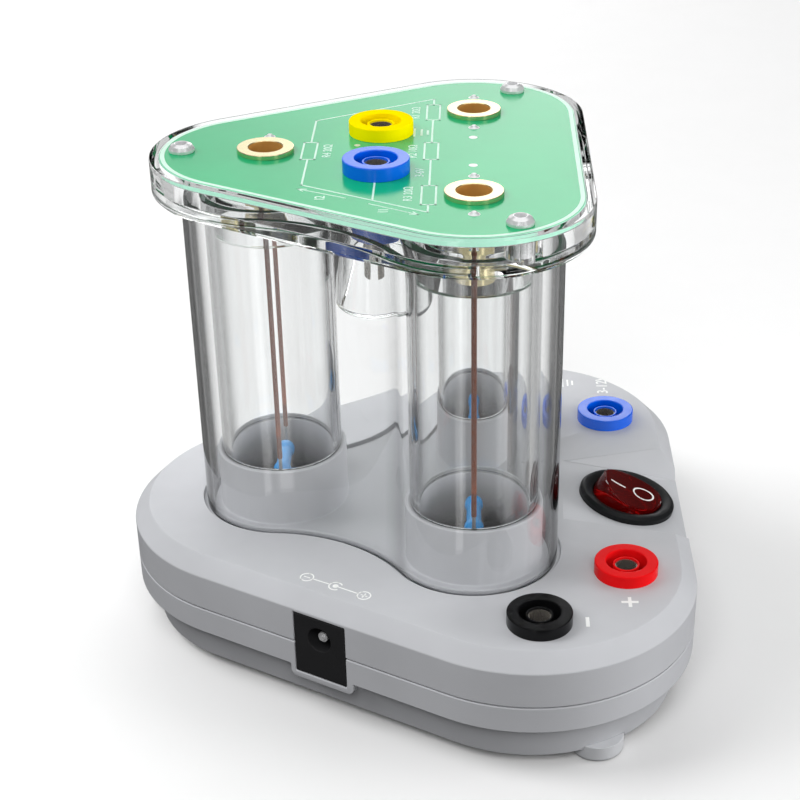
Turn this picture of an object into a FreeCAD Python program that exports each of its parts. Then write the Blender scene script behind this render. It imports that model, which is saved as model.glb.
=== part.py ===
import FreeCAD, Part
import math
import os

# Electric heating demonstrator: three clear heating chambers under one lid, on a grey base.
# Millimetres. +Z is up and the origin is on the bench, under the middle of the base.
# +X points to the side with the rocker switch, -Y to the side with the supply inlet.

# ---- levels above the bench ----
PAN_BOTTOM = 2.5
BAND_BOTTOM = 10.8
PARTING = 16.7
PARTING_GAP = 0.3
BASE_TOP = 27.5
COLLAR_HEIGHT = 12.3
COLLAR_TOP = BASE_TOP + COLLAR_HEIGHT
LID_TOP = 102.35
LID_HEIGHT = 7.45
LID_BOTTOM = LID_TOP - LID_HEIGHT
BAND_TOP = PARTING - PARTING_GAP

# ---- base plan: three round corners joined by straight sides ----
BASE_CORNERS = ((-24.95, 0.0), (24.95, -28.7), (24.95, 28.7))
BASE_RADIUS = 33.2
BASE_SIDE = BASE_CORNERS[1][0] + BASE_RADIUS
BASE_CHAMFER = 3.2
PAN_TOP_INSET = 2.0
PAN_BOTTOM_INSET = 3.7
SHELL_WALL = 2.4
TOP_THICKNESS = 3.0
CEILING = BASE_TOP - TOP_THICKNESS
BAND_FLOOR = 2.0
LIP_WIDTH = 1.2
LIP_ABOVE = 1.5
LIP_BELOW = 2.4

# ---- chamber layout: three axes evenly spaced round one centre ----
CENTRE_OFFSET = 0.45
AXIS_DISTANCE = 26.5
FIRST_AXIS_DIRECTION = 180.0
AXIS_STEP = 120.0
AXIS_ORDER = {"a": 0, "b": -1, "c": 1}
ROUND_ORDER = "acb"
WAIST_DISTANCE = 56.2

# ---- general clearances ----
SLIP = 0.15
PRESS = 0.03
OVERRUN = 5.0

# ---- chamber seat and clear walls ----
RECESS_LOBE = 17.5
RECESS_DEPTH = 1.1
WALL_LOBE = 16.8
WALL_THICKNESS = 1.4
TUBE_OUTER = 12.7
TUBE_INNER = 10.95
COLLAR_OUTER = 13.7
TUBE_SEAT_DEPTH = 0.5
CUP_BORE = 11.2
CUP_FLOOR = 19.8
CUP_FLOOR_THICKNESS = 1.5
CUP_HOLE_GAP = 0.25

# ---- lid, board and their screws ----
LID_CORNER = 22.1
LID_BEVEL = 1.0
LID_FLOOR = 2.0
BOARD_CORNER = 20.1
BOARD_THICKNESS = 1.6
BOARD_UNDER = LID_TOP - BOARD_THICKNESS
TRAY_CORNER = 18.4
SPIGOT_OUTER = 10.8
SPIGOT_WALL = 1.5
SPIGOT_DEPTH = 7.6
SPIGOT_BOTTOM = LID_BOTTOM - SPIGOT_DEPTH
POCKET_OUTER = 8.3
POCKET_WALL = 1.2
POCKET_DEPTH = 19.4
POCKET_BOTTOM = LID_BOTTOM - POCKET_DEPTH
POCKET_ROUND = 2.0
LID_SCREW_DISTANCE = 42.5
LID_BOSS = 3.0
LID_SCREW_LENGTH = 5.4

# ---- screws ----
SCREW_SHANK = 1.45
SCREW_HOLE = 1.55
BUTTON_HEAD = 2.5
BUTTON_HEIGHT = 1.6
BUTTON_RIM_HEIGHT = 0.53
BUTTON_SHOULDER = 1.9
BUTTON_SHOULDER_HEIGHT = 1.33
BUTTON_CROWN = 1.3
HEX_SOCKET_FLATS = 2.0
HEX_SOCKET_DEPTH = 1.0
CASE_SCREW_INSET = 9.2
CASE_SCREW_PLACES = ((0, -123.0), (0, 123.0), (1, -123.0), (2, 123.0))
CASE_HEAD = 2.7
CASE_HEAD_HEIGHT = 1.8
CASE_DRIVE_DEPTH = 0.9
CASE_HEAD_HOLE = 3.1
CASE_SCREW_LENGTH = 15.5
CASE_SEAT = 6.5
CASE_BOSS = 3.9
CASE_POST_TOP = 16.5

# ---- feet: one under each corner ----
FOOT_RADIUS = 5.3
FOOT_INSET = 6.7
FOOT_POCKET = 0.9
FOOT_DIRECTIONS = (180.0, -61.4, 61.4)

# ---- ferrules over the chambers ----
FERRULE_FLANGE = 5.45
FERRULE_FLANGE_HEIGHT = 0.92
FERRULE_BARREL = 3.75
FERRULE_BORE = 3.25
FERRULE_LENGTH = 15.45
FERRULE_BOTTOM = LID_TOP - FERRULE_LENGTH
FERRULE_LEAD_IN = 0.4
FERRULE_HOLE = 3.9

# ---- 4 mm laboratory sockets ----
SOCKET_BORE = 2.0
SOCKET_FLANGE = 6.3
SOCKET_FLANGE_HEIGHT = 2.6
SOCKET_EDGE = 0.35
SOCKET_GROOVE = 4.0
SOCKET_GROOVE_DEPTH = 11.5
SOCKET_SLEEVE = 2.65
SOCKET_SLEEVE_SET_BACK = 0.7
SOCKET_BODY = 4.8
SOCKET_BODY_DEPTH = 13.0
SOCKET_HOLE = 4.95
CONTACT_OUTER = 2.2
CONTACT_SET_BACK = 1.1
CONTACT_BORE_DEPTH = 12.5
CONTACT_LENGTH = 20.5
CONTACT_SLOT = 1.6
CONTACT_SLOT_DEPTH = 4.0
SOCKET_NUT_FLATS = 11.6
SOCKET_NUT_HEIGHT = 2.4
LID_SOCKETS = {"yellow": (-4.45, 10.7), "lid_blue": (-4.45, -10.7)}
BASE_SOCKET_PLACES = {
    "red": (1, -10.0, 14.2),
    "black": (1, -87.0, 12.3),
    "base_blue": (2, 10.0, 14.2),
}

# ---- rocker pocket: a wedge let into the flat side of the base ----
WEDGE_LENGTH = 24.7
WEDGE_CREASE = BASE_SIDE - WEDGE_LENGTH
WEDGE_SLOPE = 11.3
WEDGE_FLOOR_HALF = 12.3
WEDGE_FLARE = 0.262
WEDGE_OVERRUN = 3.85
WEDGE_END = BASE_SIDE + WEDGE_OVERRUN
WEDGE_BACKING = 2.4
WEDGE_BACKING_HALF = 20.5

# ---- rocker switch, in its own frame: z along its axis, 0 on the pocket floor ----
ROCKER_INSET = 11.95
ROCKER_PLACE = BASE_SIDE - ROCKER_INSET
ROCKER_HOLE = 9.0
BEZEL_RADIUS = 10.25
BEZEL_HEIGHT = 1.7
BEZEL_EDGE = 0.6
BEZEL_FLAT_INNER = 8.7
BEZEL_INNER_HEIGHT = 1.1
ROCKER_BODY = 8.8
ROCKER_BODY_DEPTH = 13.0
ROCKER_WELL = 7.5
ROCKER_WELL_DEPTH = 5.8
ROCKER_PIVOT_UP = 0.2
BUTTON_RADIUS = 7.3
BUTTON_TOP = 3.3
BUTTON_RIM = 6.9
BUTTON_SHOULDER_UP = 1.4
BUTTON_UNDER = 3.4
BUTTON_DISH_RADIUS = 26.0
BUTTON_DISH_DEPTH = 0.94
BUTTON_TILT = 14.0
PIVOT_PIN = 1.0
PIVOT_HOLE = 1.05
PIVOT_PIN_END = 8.2
PIVOT_HOLE_END = 8.4
BLADE_WIDTH = 4.8
BLADE_THICKNESS = 0.8
BLADE_LENGTH = 5.5
BLADE_OFFSETS = (-4.6, 0.0, 4.6)

# ---- supply inlet on the front side of the base ----
INLET_ALONG = 6.93
INLET_WIDTH = 11.75
INLET_BOTTOM = 9.7
INLET_TOP = 23.5
INLET_DEPTH = 14.0
INLET_HOLE = 2.65
INLET_HOLE_Z = 18.8
INLET_HOLE_DEPTH = 9.5
INLET_PIN = 1.05
INLET_PIN_SET_BACK = 0.8
INLET_BLADE_WIDTH = 2.4
INLET_BLADE_THICKNESS = 0.6
INLET_BLADE_LENGTH = 3.0
INLET_BLADE_RISES = (-4.4, 4.4)
TAB_MARGIN_LEFT = 1.35
TAB_MARGIN_RIGHT = 1.7
TAB_BOTTOM = 8.1
TAB_DEPTH = 3.4
TAB_CORNER = 1.5

# ---- heater resistors and their wires ----
RESISTOR_Z = 35.5
RESISTOR_HALF = 6.0
RESISTOR_END = 1.9
RESISTOR_WAIST = 1.55
RESISTOR_END_LENGTH = 2.6
RESISTOR_ROUND = 0.7
LEAD_RADIUS = 0.35
LEAD_OFFSET = 7.0
WIRE_RADIUS = 0.5
WIRE_BEND_LOW = 5.0
WIRE_BEND_HIGH = 1.9
PAD_OFFSETS = {"a": (8.2,), "b": (-9.4, 9.4), "c": (-9.4, 9.4)}
PAD_HOLE = 0.65
WIRE_PASSAGE = 0.8
SOLDER_RADIUS = 1.0
SOLDER_TIP = 0.5
SOLDER_HEIGHT = 0.5

UP = FreeCAD.Vector(0, 0, 1)
ALONG_Y = FreeCAD.Vector(0, 1, 0)
ORIGIN = FreeCAD.Vector(0, 0, 0)
HALF_TURN = 180.0
FULL_TURN = 360.0
HEX_SIDES = 6
SAME_LEVEL = 1e-4


# ---- geometry helpers ----
def vec(x, y, z=0.0):
    return FreeCAD.Vector(x, y, z)


def polar(centre, radius, angle):
    turn = math.radians(angle)
    return (centre[0] + radius * math.cos(turn), centre[1] + radius * math.sin(turn))


def prism(wire, height):
    return Part.Face(wire).extrude(UP * height)


def disc(place, radius, bottom, top):
    return Part.makeCylinder(radius, top - bottom, vec(place[0], place[1], bottom), UP)


def ring(place, outer, inner, bottom, top):
    return disc(place, outer, bottom, top).cut(disc(place, inner, bottom, top))


def box(low, high):
    size = high - low
    return Part.makeBox(size.x, size.y, size.z, low)


def arc_edge(centre, radius, start, end, z):
    middle = (start + end) / 2
    points = [vec(*polar(centre, radius, angle), z) for angle in (start, middle, end)]
    return Part.Arc(*points).toShape()


def hull_wire(centres, radius, z):
    """Outline of equal circles joined by their outer tangents, circles given anticlockwise."""
    edges = []
    count = len(centres)
    normals = []
    for index in range(count):
        here = centres[index]
        there = centres[(index + 1) % count]
        heading = math.degrees(math.atan2(there[1] - here[1], there[0] - here[0]))
        normals.append(heading - HALF_TURN / 2)
    for index in range(count):
        here = centres[index]
        there = centres[(index + 1) % count]
        before = normals[index - 1]
        after = normals[index]
        while after < before:
            after += FULL_TURN
        edges.append(arc_edge(here, radius, before, after, z))
        start = vec(*polar(here, radius, normals[index]), z)
        end = vec(*polar(there, radius, normals[index]), z)
        edges.append(Part.makeLine(start, end))
    return Part.Wire(edges)


def hull_solid(centres, radius, bottom, top):
    return prism(hull_wire(centres, radius, bottom), top - bottom)


def tapered_hull(centres, low_radius, high_radius, bottom, top):
    wires = [hull_wire(centres, low_radius, bottom), hull_wire(centres, high_radius, top)]
    return Part.makeLoft(wires, True, True)


def trefoil_solid(lobe, bottom, top):
    """Three lobes of the given radius joined by hollow waists tangent to them."""
    half_step = AXIS_STEP / 2
    waist = math.dist(polar((0, 0), AXIS_DISTANCE, half_step), (WAIST_DISTANCE, 0)) - lobe
    edges = []
    for letter in ROUND_ORDER:
        angle = axis_direction(letter)
        lobe_centre = chamber_axis(letter)
        before = polar((CENTRE_OFFSET, 0), WAIST_DISTANCE, angle - half_step)
        after = polar((CENTRE_OFFSET, 0), WAIST_DISTANCE, angle + half_step)
        start = math.degrees(math.atan2(before[1] - lobe_centre[1], before[0] - lobe_centre[0]))
        end = math.degrees(math.atan2(after[1] - lobe_centre[1], after[0] - lobe_centre[0]))
        while end < start:
            end += FULL_TURN
        edges.append(arc_edge(lobe_centre, lobe, start, end, bottom))
        mouth = end + HALF_TURN
        next_angle = 2 * (angle + half_step) - mouth + FULL_TURN
        while next_angle > mouth:
            next_angle -= FULL_TURN
        edges.append(arc_edge(after, waist, mouth, next_angle, bottom))
    return prism(Part.Wire(Part.sortEdges(edges)[0]), top - bottom)


def lathe(place, profile):
    """Turned piece: (radius, height) corners spun about a vertical axis through place."""
    points = [vec(place[0] + radius, place[1], height) for radius, height in profile]
    points.append(points[0])
    face = Part.Face(Part.makePolygon(points))
    return face.revolve(vec(place[0], place[1]), UP, FULL_TURN)


def hexagon(place, flats, bottom, top):
    radius = flats / 2 / math.cos(math.pi / HEX_SIDES)
    step = FULL_TURN / HEX_SIDES
    points = [vec(*polar(place, radius, step * index), bottom) for index in range(HEX_SIDES + 1)]
    return prism(Part.makePolygon(points), top - bottom)


def rod(points, radius):
    """Round wire through the given points with ball-shaped bends."""
    spans = []
    for start, end in zip(points, points[1:]):
        line = end - start
        spans.append(Part.makeCylinder(radius, line.Length, start, line))
    for bend in points[1:-1]:
        spans.append(Part.makeSphere(radius, bend))
    return spans[0].fuse(spans[1:]).removeSplitter()


def level_edges(shape, z):
    """Edges lying in the horizontal plane at z."""
    found = []
    for edge in shape.Edges:
        if max(abs(edge.BoundBox.ZMin - z), abs(edge.BoundBox.ZMax - z)) < SAME_LEVEL:
            found.append(edge)
    return found


def axis_direction(letter):
    return FIRST_AXIS_DIRECTION + AXIS_STEP * AXIS_ORDER[letter]


def chamber_axis(letter):
    return polar((CENTRE_OFFSET, 0), AXIS_DISTANCE, axis_direction(letter))


def chamber_axes():
    """The three chamber axes, anticlockwise from above."""
    return [chamber_axis(letter) for letter in ROUND_ORDER]


def from_edge(corner, direction, inset):
    """Place measured inwards from the round edge of one corner of the base."""
    return polar(BASE_CORNERS[corner], BASE_RADIUS - inset, direction)


def inlet_side():
    """Heading of the base's front side, its two level directions and the point mid-way along it."""
    corner = BASE_CORNERS[0]
    next_corner = BASE_CORNERS[1]
    heading = math.atan2(next_corner[1] - corner[1], next_corner[0] - corner[0])
    along = vec(math.cos(heading), math.sin(heading))
    inwards = vec(-along.y, along.x)
    to_face = BASE_RADIUS - vec(corner[0] - CENTRE_OFFSET, corner[1]).dot(inwards)
    return heading, along, inwards, vec(CENTRE_OFFSET, 0) - inwards * to_face


def inlet_block(along_low, along_high, depth, bottom, top, proud=0.0):
    """Block square to the front side of the base, measured along that side and inwards."""
    heading, along, inwards, face = inlet_side()
    block = Part.makeBox(along_high - along_low, depth + proud, top - bottom)
    block.rotate(ORIGIN, UP, math.degrees(heading))
    block.translate(face - inwards * proud + along * along_low + UP * bottom)
    return block


def inlet_rod(radius, start_depth, end_depth, along_side=INLET_ALONG, z=INLET_HOLE_Z):
    """Round bar along the plug's direction, measured inwards from the side of the base."""
    heading, along, inwards, face = inlet_side()
    start = face + inwards * start_depth + along * along_side + UP * z
    return Part.makeCylinder(radius, end_depth - start_depth, start, inwards)


# ---- base ----
def wedge_drop(x):
    """Depth of the rocker pocket's floor under the case top."""
    return (x - WEDGE_CREASE) * math.tan(math.radians(WEDGE_SLOPE))


def wedge_cutter():
    """Space over the rocker: flat sloping floor and flared sides, open at the top and side."""
    run = WEDGE_END - WEDGE_CREASE
    drop = wedge_drop(WEDGE_END)
    wide = WEDGE_FLOOR_HALF + run * WEDGE_FLARE
    crease = [vec(WEDGE_CREASE, side * WEDGE_FLOOR_HALF, BASE_TOP) for side in (-1, 1)]
    low = [vec(WEDGE_END, side * WEDGE_FLOOR_HALF, BASE_TOP - drop) for side in (-1, 1)]
    high = [vec(WEDGE_END, side * wide, BASE_TOP) for side in (-1, 1)]
    outlines = (
        (crease[0], low[0], low[1], crease[1]),
        (crease[0], crease[1], high[1], high[0]),
        (low[0], high[0], high[1], low[1]),
        (crease[0], high[0], low[0]),
        (crease[1], low[1], high[1]),
    )
    faces = [Part.Face(Part.makePolygon(list(points) + [points[0]])) for points in outlines]
    wedge = Part.makeSolid(Part.makeShell(faces))
    lid = prism(Part.makePolygon([crease[0], crease[1], high[1], high[0], crease[0]]), OVERRUN)
    if wedge.Volume < 0:
        wedge.reverse()
    return wedge.fuse(lid)


def wedge_backing():
    """Thickening under the rocker pocket, parallel to its floor."""
    drop = wedge_drop(WEDGE_END)
    top = BASE_TOP - TOP_THICKNESS / 2
    points = [
        vec(WEDGE_CREASE, -WEDGE_BACKING_HALF, top),
        vec(WEDGE_CREASE, -WEDGE_BACKING_HALF, BASE_TOP - WEDGE_BACKING),
        vec(WEDGE_END, -WEDGE_BACKING_HALF, BASE_TOP - WEDGE_BACKING - drop),
        vec(WEDGE_END, -WEDGE_BACKING_HALF, top),
    ]
    points.append(points[0])
    return Part.Face(Part.makePolygon(points)).extrude(ALONG_Y * 2 * WEDGE_BACKING_HALF)


def place_on_wedge(shape):
    """Moves a shape from the rocker's own frame onto the pocket floor."""
    shape.rotate(ORIGIN, ALONG_Y, WEDGE_SLOPE)
    shape.translate(vec(ROCKER_PLACE, 0, BASE_TOP - wedge_drop(ROCKER_PLACE)))
    return shape


def base_upper_shell():
    block = hull_solid(BASE_CORNERS, BASE_RADIUS, PARTING, BASE_TOP)
    block = block.makeChamfer(BASE_CHAMFER, level_edges(block, BASE_TOP))
    shell = block.cut(hull_solid(BASE_CORNERS, BASE_RADIUS - SHELL_WALL, PARTING, CEILING))
    shell = shell.fuse(wedge_backing().common(block))
    for place in case_screw_places():
        shell = shell.fuse(disc(place, CASE_BOSS, PARTING, CEILING))
    shell = shell.cut(wedge_cutter())
    shell = shell.cut(trefoil_solid(RECESS_LOBE, BASE_TOP - RECESS_DEPTH, BASE_TOP + OVERRUN))
    cup_hole = COLLAR_OUTER + CUP_HOLE_GAP
    holes = [disc(axis, cup_hole, PARTING, BASE_TOP) for axis in chamber_axes()]
    holes += [disc(place, SOCKET_HOLE, PARTING, BASE_TOP) for place in base_sockets().values()]
    holes += [disc(place, SCREW_HOLE, PARTING, CEILING) for place in case_screw_places()]
    well = place_on_wedge(disc((0, 0), ROCKER_HOLE, -OVERRUN, OVERRUN))
    inlet = inlet_opening(PARTING, INLET_TOP + SLIP)
    return shell.cut(holes + [well, inlet]).removeSplitter()


def inlet_opening(bottom, top):
    low = INLET_ALONG - INLET_WIDTH / 2 - SLIP
    high = INLET_ALONG + INLET_WIDTH / 2 + SLIP
    return inlet_block(low, high, INLET_DEPTH, bottom, top, OVERRUN)


def inlet_tab():
    """Plate hanging from the lower band that frames the supply inlet."""
    low = INLET_ALONG - INLET_WIDTH / 2 - TAB_MARGIN_LEFT
    high = INLET_ALONG + INLET_WIDTH / 2 + TAB_MARGIN_RIGHT
    middle = BAND_BOTTOM + TAB_CORNER
    upper = inlet_block(low, high, TAB_DEPTH, TAB_BOTTOM + TAB_CORNER, middle)
    lower = inlet_block(low + TAB_CORNER, high - TAB_CORNER, TAB_DEPTH, TAB_BOTTOM, middle)
    corner_z = TAB_BOTTOM + TAB_CORNER
    corner_places = (low + TAB_CORNER, high - TAB_CORNER)
    corners = [inlet_rod(TAB_CORNER, 0, TAB_DEPTH, along, corner_z) for along in corner_places]
    return upper.fuse([lower] + corners)


def case_post(place):
    return disc(place, CASE_BOSS, PAN_BOTTOM, CASE_POST_TOP)


def foot_places():
    return [from_edge(corner, angle, FOOT_INSET) for corner, angle in enumerate(FOOT_DIRECTIONS)]


def case_screw_places():
    return [from_edge(corner, angle, CASE_SCREW_INSET) for corner, angle in CASE_SCREW_PLACES]


def base_sockets():
    return {colour: from_edge(*place) for colour, place in BASE_SOCKET_PLACES.items()}


def base_lower_shell():
    inner = BASE_RADIUS - SHELL_WALL
    pan_high = BASE_RADIUS - PAN_TOP_INSET
    pan_low = BASE_RADIUS - PAN_BOTTOM_INSET
    band = hull_solid(BASE_CORNERS, BASE_RADIUS, BAND_BOTTOM, BAND_TOP)
    pan = tapered_hull(BASE_CORNERS, pan_low, pan_high, PAN_BOTTOM, BAND_BOTTOM)
    lip_low = BAND_TOP - LIP_BELOW
    lip_high = PARTING + LIP_ABOVE
    lip = hull_solid(BASE_CORNERS, inner - SLIP, lip_low, lip_high)
    lip = lip.cut(hull_solid(BASE_CORNERS, inner - SLIP - LIP_WIDTH, lip_low, lip_high))
    lip_root = hull_solid(BASE_CORNERS, inner, lip_low, BAND_TOP)
    lip_root = lip_root.cut(hull_solid(BASE_CORNERS, inner - LIP_WIDTH, lip_low, BAND_TOP))
    space = hull_solid(BASE_CORNERS, inner, BAND_BOTTOM + BAND_FLOOR, BAND_TOP)
    floor = PAN_BOTTOM + SHELL_WALL
    low_inner = pan_low - SHELL_WALL
    high_inner = pan_high - SHELL_WALL
    space_low = tapered_hull(BASE_CORNERS, low_inner, high_inner, floor, BAND_BOTTOM)
    neck = hull_solid(BASE_CORNERS, high_inner, BAND_BOTTOM, BAND_BOTTOM + BAND_FLOOR)
    shell = band.fuse([pan, inlet_tab()]).cut([space, neck, space_low])
    shell = shell.fuse([lip, lip_root] + [case_post(place) for place in case_screw_places()])
    cuts = [disc(place, CASE_HEAD_HOLE, PAN_BOTTOM, CASE_SEAT) for place in case_screw_places()]
    cuts += [disc(place, SCREW_HOLE, PAN_BOTTOM, PARTING) for place in case_screw_places()]
    cuts += [disc(place, FOOT_RADIUS, PAN_BOTTOM, PAN_BOTTOM + FOOT_POCKET) for place in foot_places()]
    cuts.append(inlet_opening(INLET_BOTTOM - SLIP, lip_high))
    return shell.cut(cuts).removeSplitter()


def feet():
    return [disc(place, FOOT_RADIUS - PRESS, 0, PAN_BOTTOM + FOOT_POCKET) for place in foot_places()]


def case_screw(place):
    head_face = CASE_SEAT - CASE_HEAD_HEIGHT
    head = disc(place, CASE_HEAD, head_face, CASE_SEAT)
    shank = disc(place, SCREW_SHANK, CASE_SEAT, CASE_SEAT + CASE_SCREW_LENGTH)
    drive = hexagon(place, HEX_SOCKET_FLATS, head_face, head_face + CASE_DRIVE_DEPTH)
    return head.fuse(shank).cut(drive).removeSplitter()


# ---- chamber seat, tubes and outer wall ----
def chamber_seat():
    """Three-lobed plate with a deep cup and a collar under each chamber."""
    seat = trefoil_solid(WALL_LOBE - WALL_THICKNESS - SLIP, BASE_TOP - RECESS_DEPTH, BASE_TOP)
    cup_bottom = CUP_FLOOR - CUP_FLOOR_THICKNESS
    seat = seat.fuse([disc(axis, COLLAR_OUTER, cup_bottom, COLLAR_TOP) for axis in chamber_axes()])
    for axis in chamber_axes():
        bore = disc(axis, CUP_BORE, CUP_FLOOR, COLLAR_TOP)
        rim = disc(axis, TUBE_OUTER + SLIP, COLLAR_TOP - TUBE_SEAT_DEPTH, COLLAR_TOP)
        seat = seat.cut([bore, rim])
    return seat.removeSplitter()


def chamber_tube(letter):
    bottom = COLLAR_TOP - TUBE_SEAT_DEPTH
    return ring(chamber_axis(letter), TUBE_OUTER, TUBE_INNER, bottom, LID_BOTTOM)


def clear_wall():
    bottom = BASE_TOP - RECESS_DEPTH
    outer = trefoil_solid(WALL_LOBE, bottom, LID_BOTTOM)
    return outer.cut(trefoil_solid(WALL_LOBE - WALL_THICKNESS, bottom, LID_BOTTOM))


# ---- lid and board ----
def lid_screw_places():
    centre = (CENTRE_OFFSET, 0)
    return [polar(centre, LID_SCREW_DISTANCE, axis_direction(letter)) for letter in AXIS_ORDER]


def wire_places(axis, offset):
    return [(axis[0], axis[1] + side * offset) for side in (-1, 1)]


def pad_places(letter):
    """Where a chamber's wires come up through the board and are soldered."""
    axis = chamber_axis(letter)
    return [(axis[0], axis[1] + offset) for offset in PAD_OFFSETS[letter]]


def lid_spigot(axis):
    """Hollow plug that centres a chamber tube."""
    return ring(axis, SPIGOT_OUTER, SPIGOT_OUTER - SPIGOT_WALL, SPIGOT_BOTTOM, LID_BOTTOM)


def lid_pocket():
    """Deep round-ended cup under the lid for the two sockets."""
    cup = hull_solid(list(LID_SOCKETS.values()), POCKET_OUTER, POCKET_BOTTOM, LID_BOTTOM + LID_FLOOR)
    return cup.makeFillet(POCKET_ROUND, level_edges(cup, POCKET_BOTTOM))


def clear_lid():
    axes = chamber_axes()
    floor_top = LID_BOTTOM + LID_FLOOR
    tray = hull_solid(axes, LID_CORNER, LID_BOTTOM, LID_TOP)
    tray = tray.makeChamfer(LID_BEVEL, level_edges(tray, LID_BOTTOM))
    tray = tray.cut(hull_solid(axes, BOARD_CORNER + SLIP, BOARD_UNDER, LID_TOP))
    tray = tray.cut(hull_solid(axes, TRAY_CORNER, floor_top, BOARD_UNDER))
    bosses = [disc(place, LID_BOSS, LID_BOTTOM, BOARD_UNDER) for place in lid_screw_places()]
    lid = tray.fuse(bosses + [lid_spigot(axis) for axis in axes] + [lid_pocket()])
    cuts = []
    for axis in axes:
        cuts.append(disc(axis, FERRULE_BARREL + PRESS, SPIGOT_BOTTOM, floor_top))
        for place in wire_places(axis, LEAD_OFFSET):
            cuts.append(disc(place, WIRE_PASSAGE, SPIGOT_BOTTOM, floor_top))
    for place in lid_screw_places():
        cuts.append(disc(place, SCREW_HOLE, LID_BOTTOM + LID_FLOOR / 2, BOARD_UNDER))
    socket_places = list(LID_SOCKETS.values())
    pocket_space = POCKET_OUTER - POCKET_WALL
    cuts.append(hull_solid(socket_places, pocket_space, POCKET_BOTTOM + POCKET_WALL, BOARD_UNDER))
    return lid.cut(cuts).removeSplitter()


def circuit_board():
    board = hull_solid(chamber_axes(), BOARD_CORNER, BOARD_UNDER, LID_TOP)
    holes = [(axis, FERRULE_HOLE) for axis in chamber_axes()]
    holes += [(place, SOCKET_HOLE) for place in LID_SOCKETS.values()]
    holes += [(place, SCREW_HOLE) for place in lid_screw_places()]
    for letter in AXIS_ORDER:
        holes += [(place, PAD_HOLE) for place in pad_places(letter)]
    return board.cut([disc(place, radius, BOARD_UNDER, LID_TOP) for place, radius in holes])


def lid_screw(place):
    """Button head screw with a hexagon socket."""
    head = lathe(place, (
        (0, LID_TOP),
        (BUTTON_HEAD, LID_TOP),
        (BUTTON_HEAD, LID_TOP + BUTTON_RIM_HEIGHT),
        (BUTTON_SHOULDER, LID_TOP + BUTTON_SHOULDER_HEIGHT),
        (BUTTON_CROWN, LID_TOP + BUTTON_HEIGHT),
        (0, LID_TOP + BUTTON_HEIGHT),
    ))
    shank = disc(place, SCREW_SHANK, LID_TOP - LID_SCREW_LENGTH, LID_TOP)
    top = LID_TOP + BUTTON_HEIGHT
    drive = hexagon(place, HEX_SOCKET_FLATS, top - HEX_SOCKET_DEPTH, top)
    return head.fuse(shank).cut(drive).removeSplitter()


# ---- ferrules ----
def ferrule(letter):
    """Flanged brass bush through the board and lid into one chamber."""
    top = LID_TOP + FERRULE_FLANGE_HEIGHT
    return lathe(chamber_axis(letter), (
        (FERRULE_BORE, FERRULE_BOTTOM),
        (FERRULE_BARREL, FERRULE_BOTTOM),
        (FERRULE_BARREL, LID_TOP),
        (FERRULE_FLANGE, LID_TOP),
        (FERRULE_FLANGE, top - FERRULE_LEAD_IN / 2),
        (FERRULE_FLANGE - FERRULE_LEAD_IN / 2, top),
        (FERRULE_BORE + FERRULE_LEAD_IN, top),
        (FERRULE_BORE, top - FERRULE_LEAD_IN),
    ))


# ---- laboratory sockets ----
def socket_insulator(place, panel):
    """Coloured moulding: flange, collar through the panel, and a sleeve inside a ring groove."""
    top = panel + SOCKET_FLANGE_HEIGHT
    sleeve_top = top - SOCKET_SLEEVE_SET_BACK
    bottom = panel - SOCKET_BODY_DEPTH
    groove_floor = top - SOCKET_GROOVE_DEPTH
    return lathe(place, (
        (CONTACT_OUTER + PRESS, bottom),
        (SOCKET_BODY, bottom),
        (SOCKET_BODY, panel),
        (SOCKET_FLANGE, panel),
        (SOCKET_FLANGE, top - SOCKET_EDGE),
        (SOCKET_FLANGE - SOCKET_EDGE, top),
        (SOCKET_GROOVE + SOCKET_EDGE, top),
        (SOCKET_GROOVE, top - SOCKET_EDGE),
        (SOCKET_GROOVE, groove_floor),
        (SOCKET_SLEEVE, groove_floor),
        (SOCKET_SLEEVE, sleeve_top),
        (CONTACT_OUTER + PRESS, sleeve_top),
    ))


def socket_contact(place, panel):
    """Metal bush with a blind bore for the plug and a slotted tail for the wire."""
    top = panel + SOCKET_FLANGE_HEIGHT - CONTACT_SET_BACK
    bottom = panel - CONTACT_LENGTH
    bush = ring(place, CONTACT_OUTER, SOCKET_BORE, top - CONTACT_BORE_DEPTH, top)
    tail = disc(place, CONTACT_OUTER, bottom, top - CONTACT_BORE_DEPTH)
    reach = CONTACT_OUTER + OVERRUN
    low = vec(place[0] - CONTACT_SLOT / 2, place[1] - reach, bottom)
    high = vec(place[0] + CONTACT_SLOT / 2, place[1] + reach, bottom + CONTACT_SLOT_DEPTH)
    return bush.fuse(tail.cut(box(low, high))).removeSplitter()


def socket_nut(place, underside):
    nut = hexagon(place, SOCKET_NUT_FLATS, underside - SOCKET_NUT_HEIGHT, underside)
    return nut.cut(disc(place, SOCKET_BODY + PRESS, underside - SOCKET_NUT_HEIGHT, underside))


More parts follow.
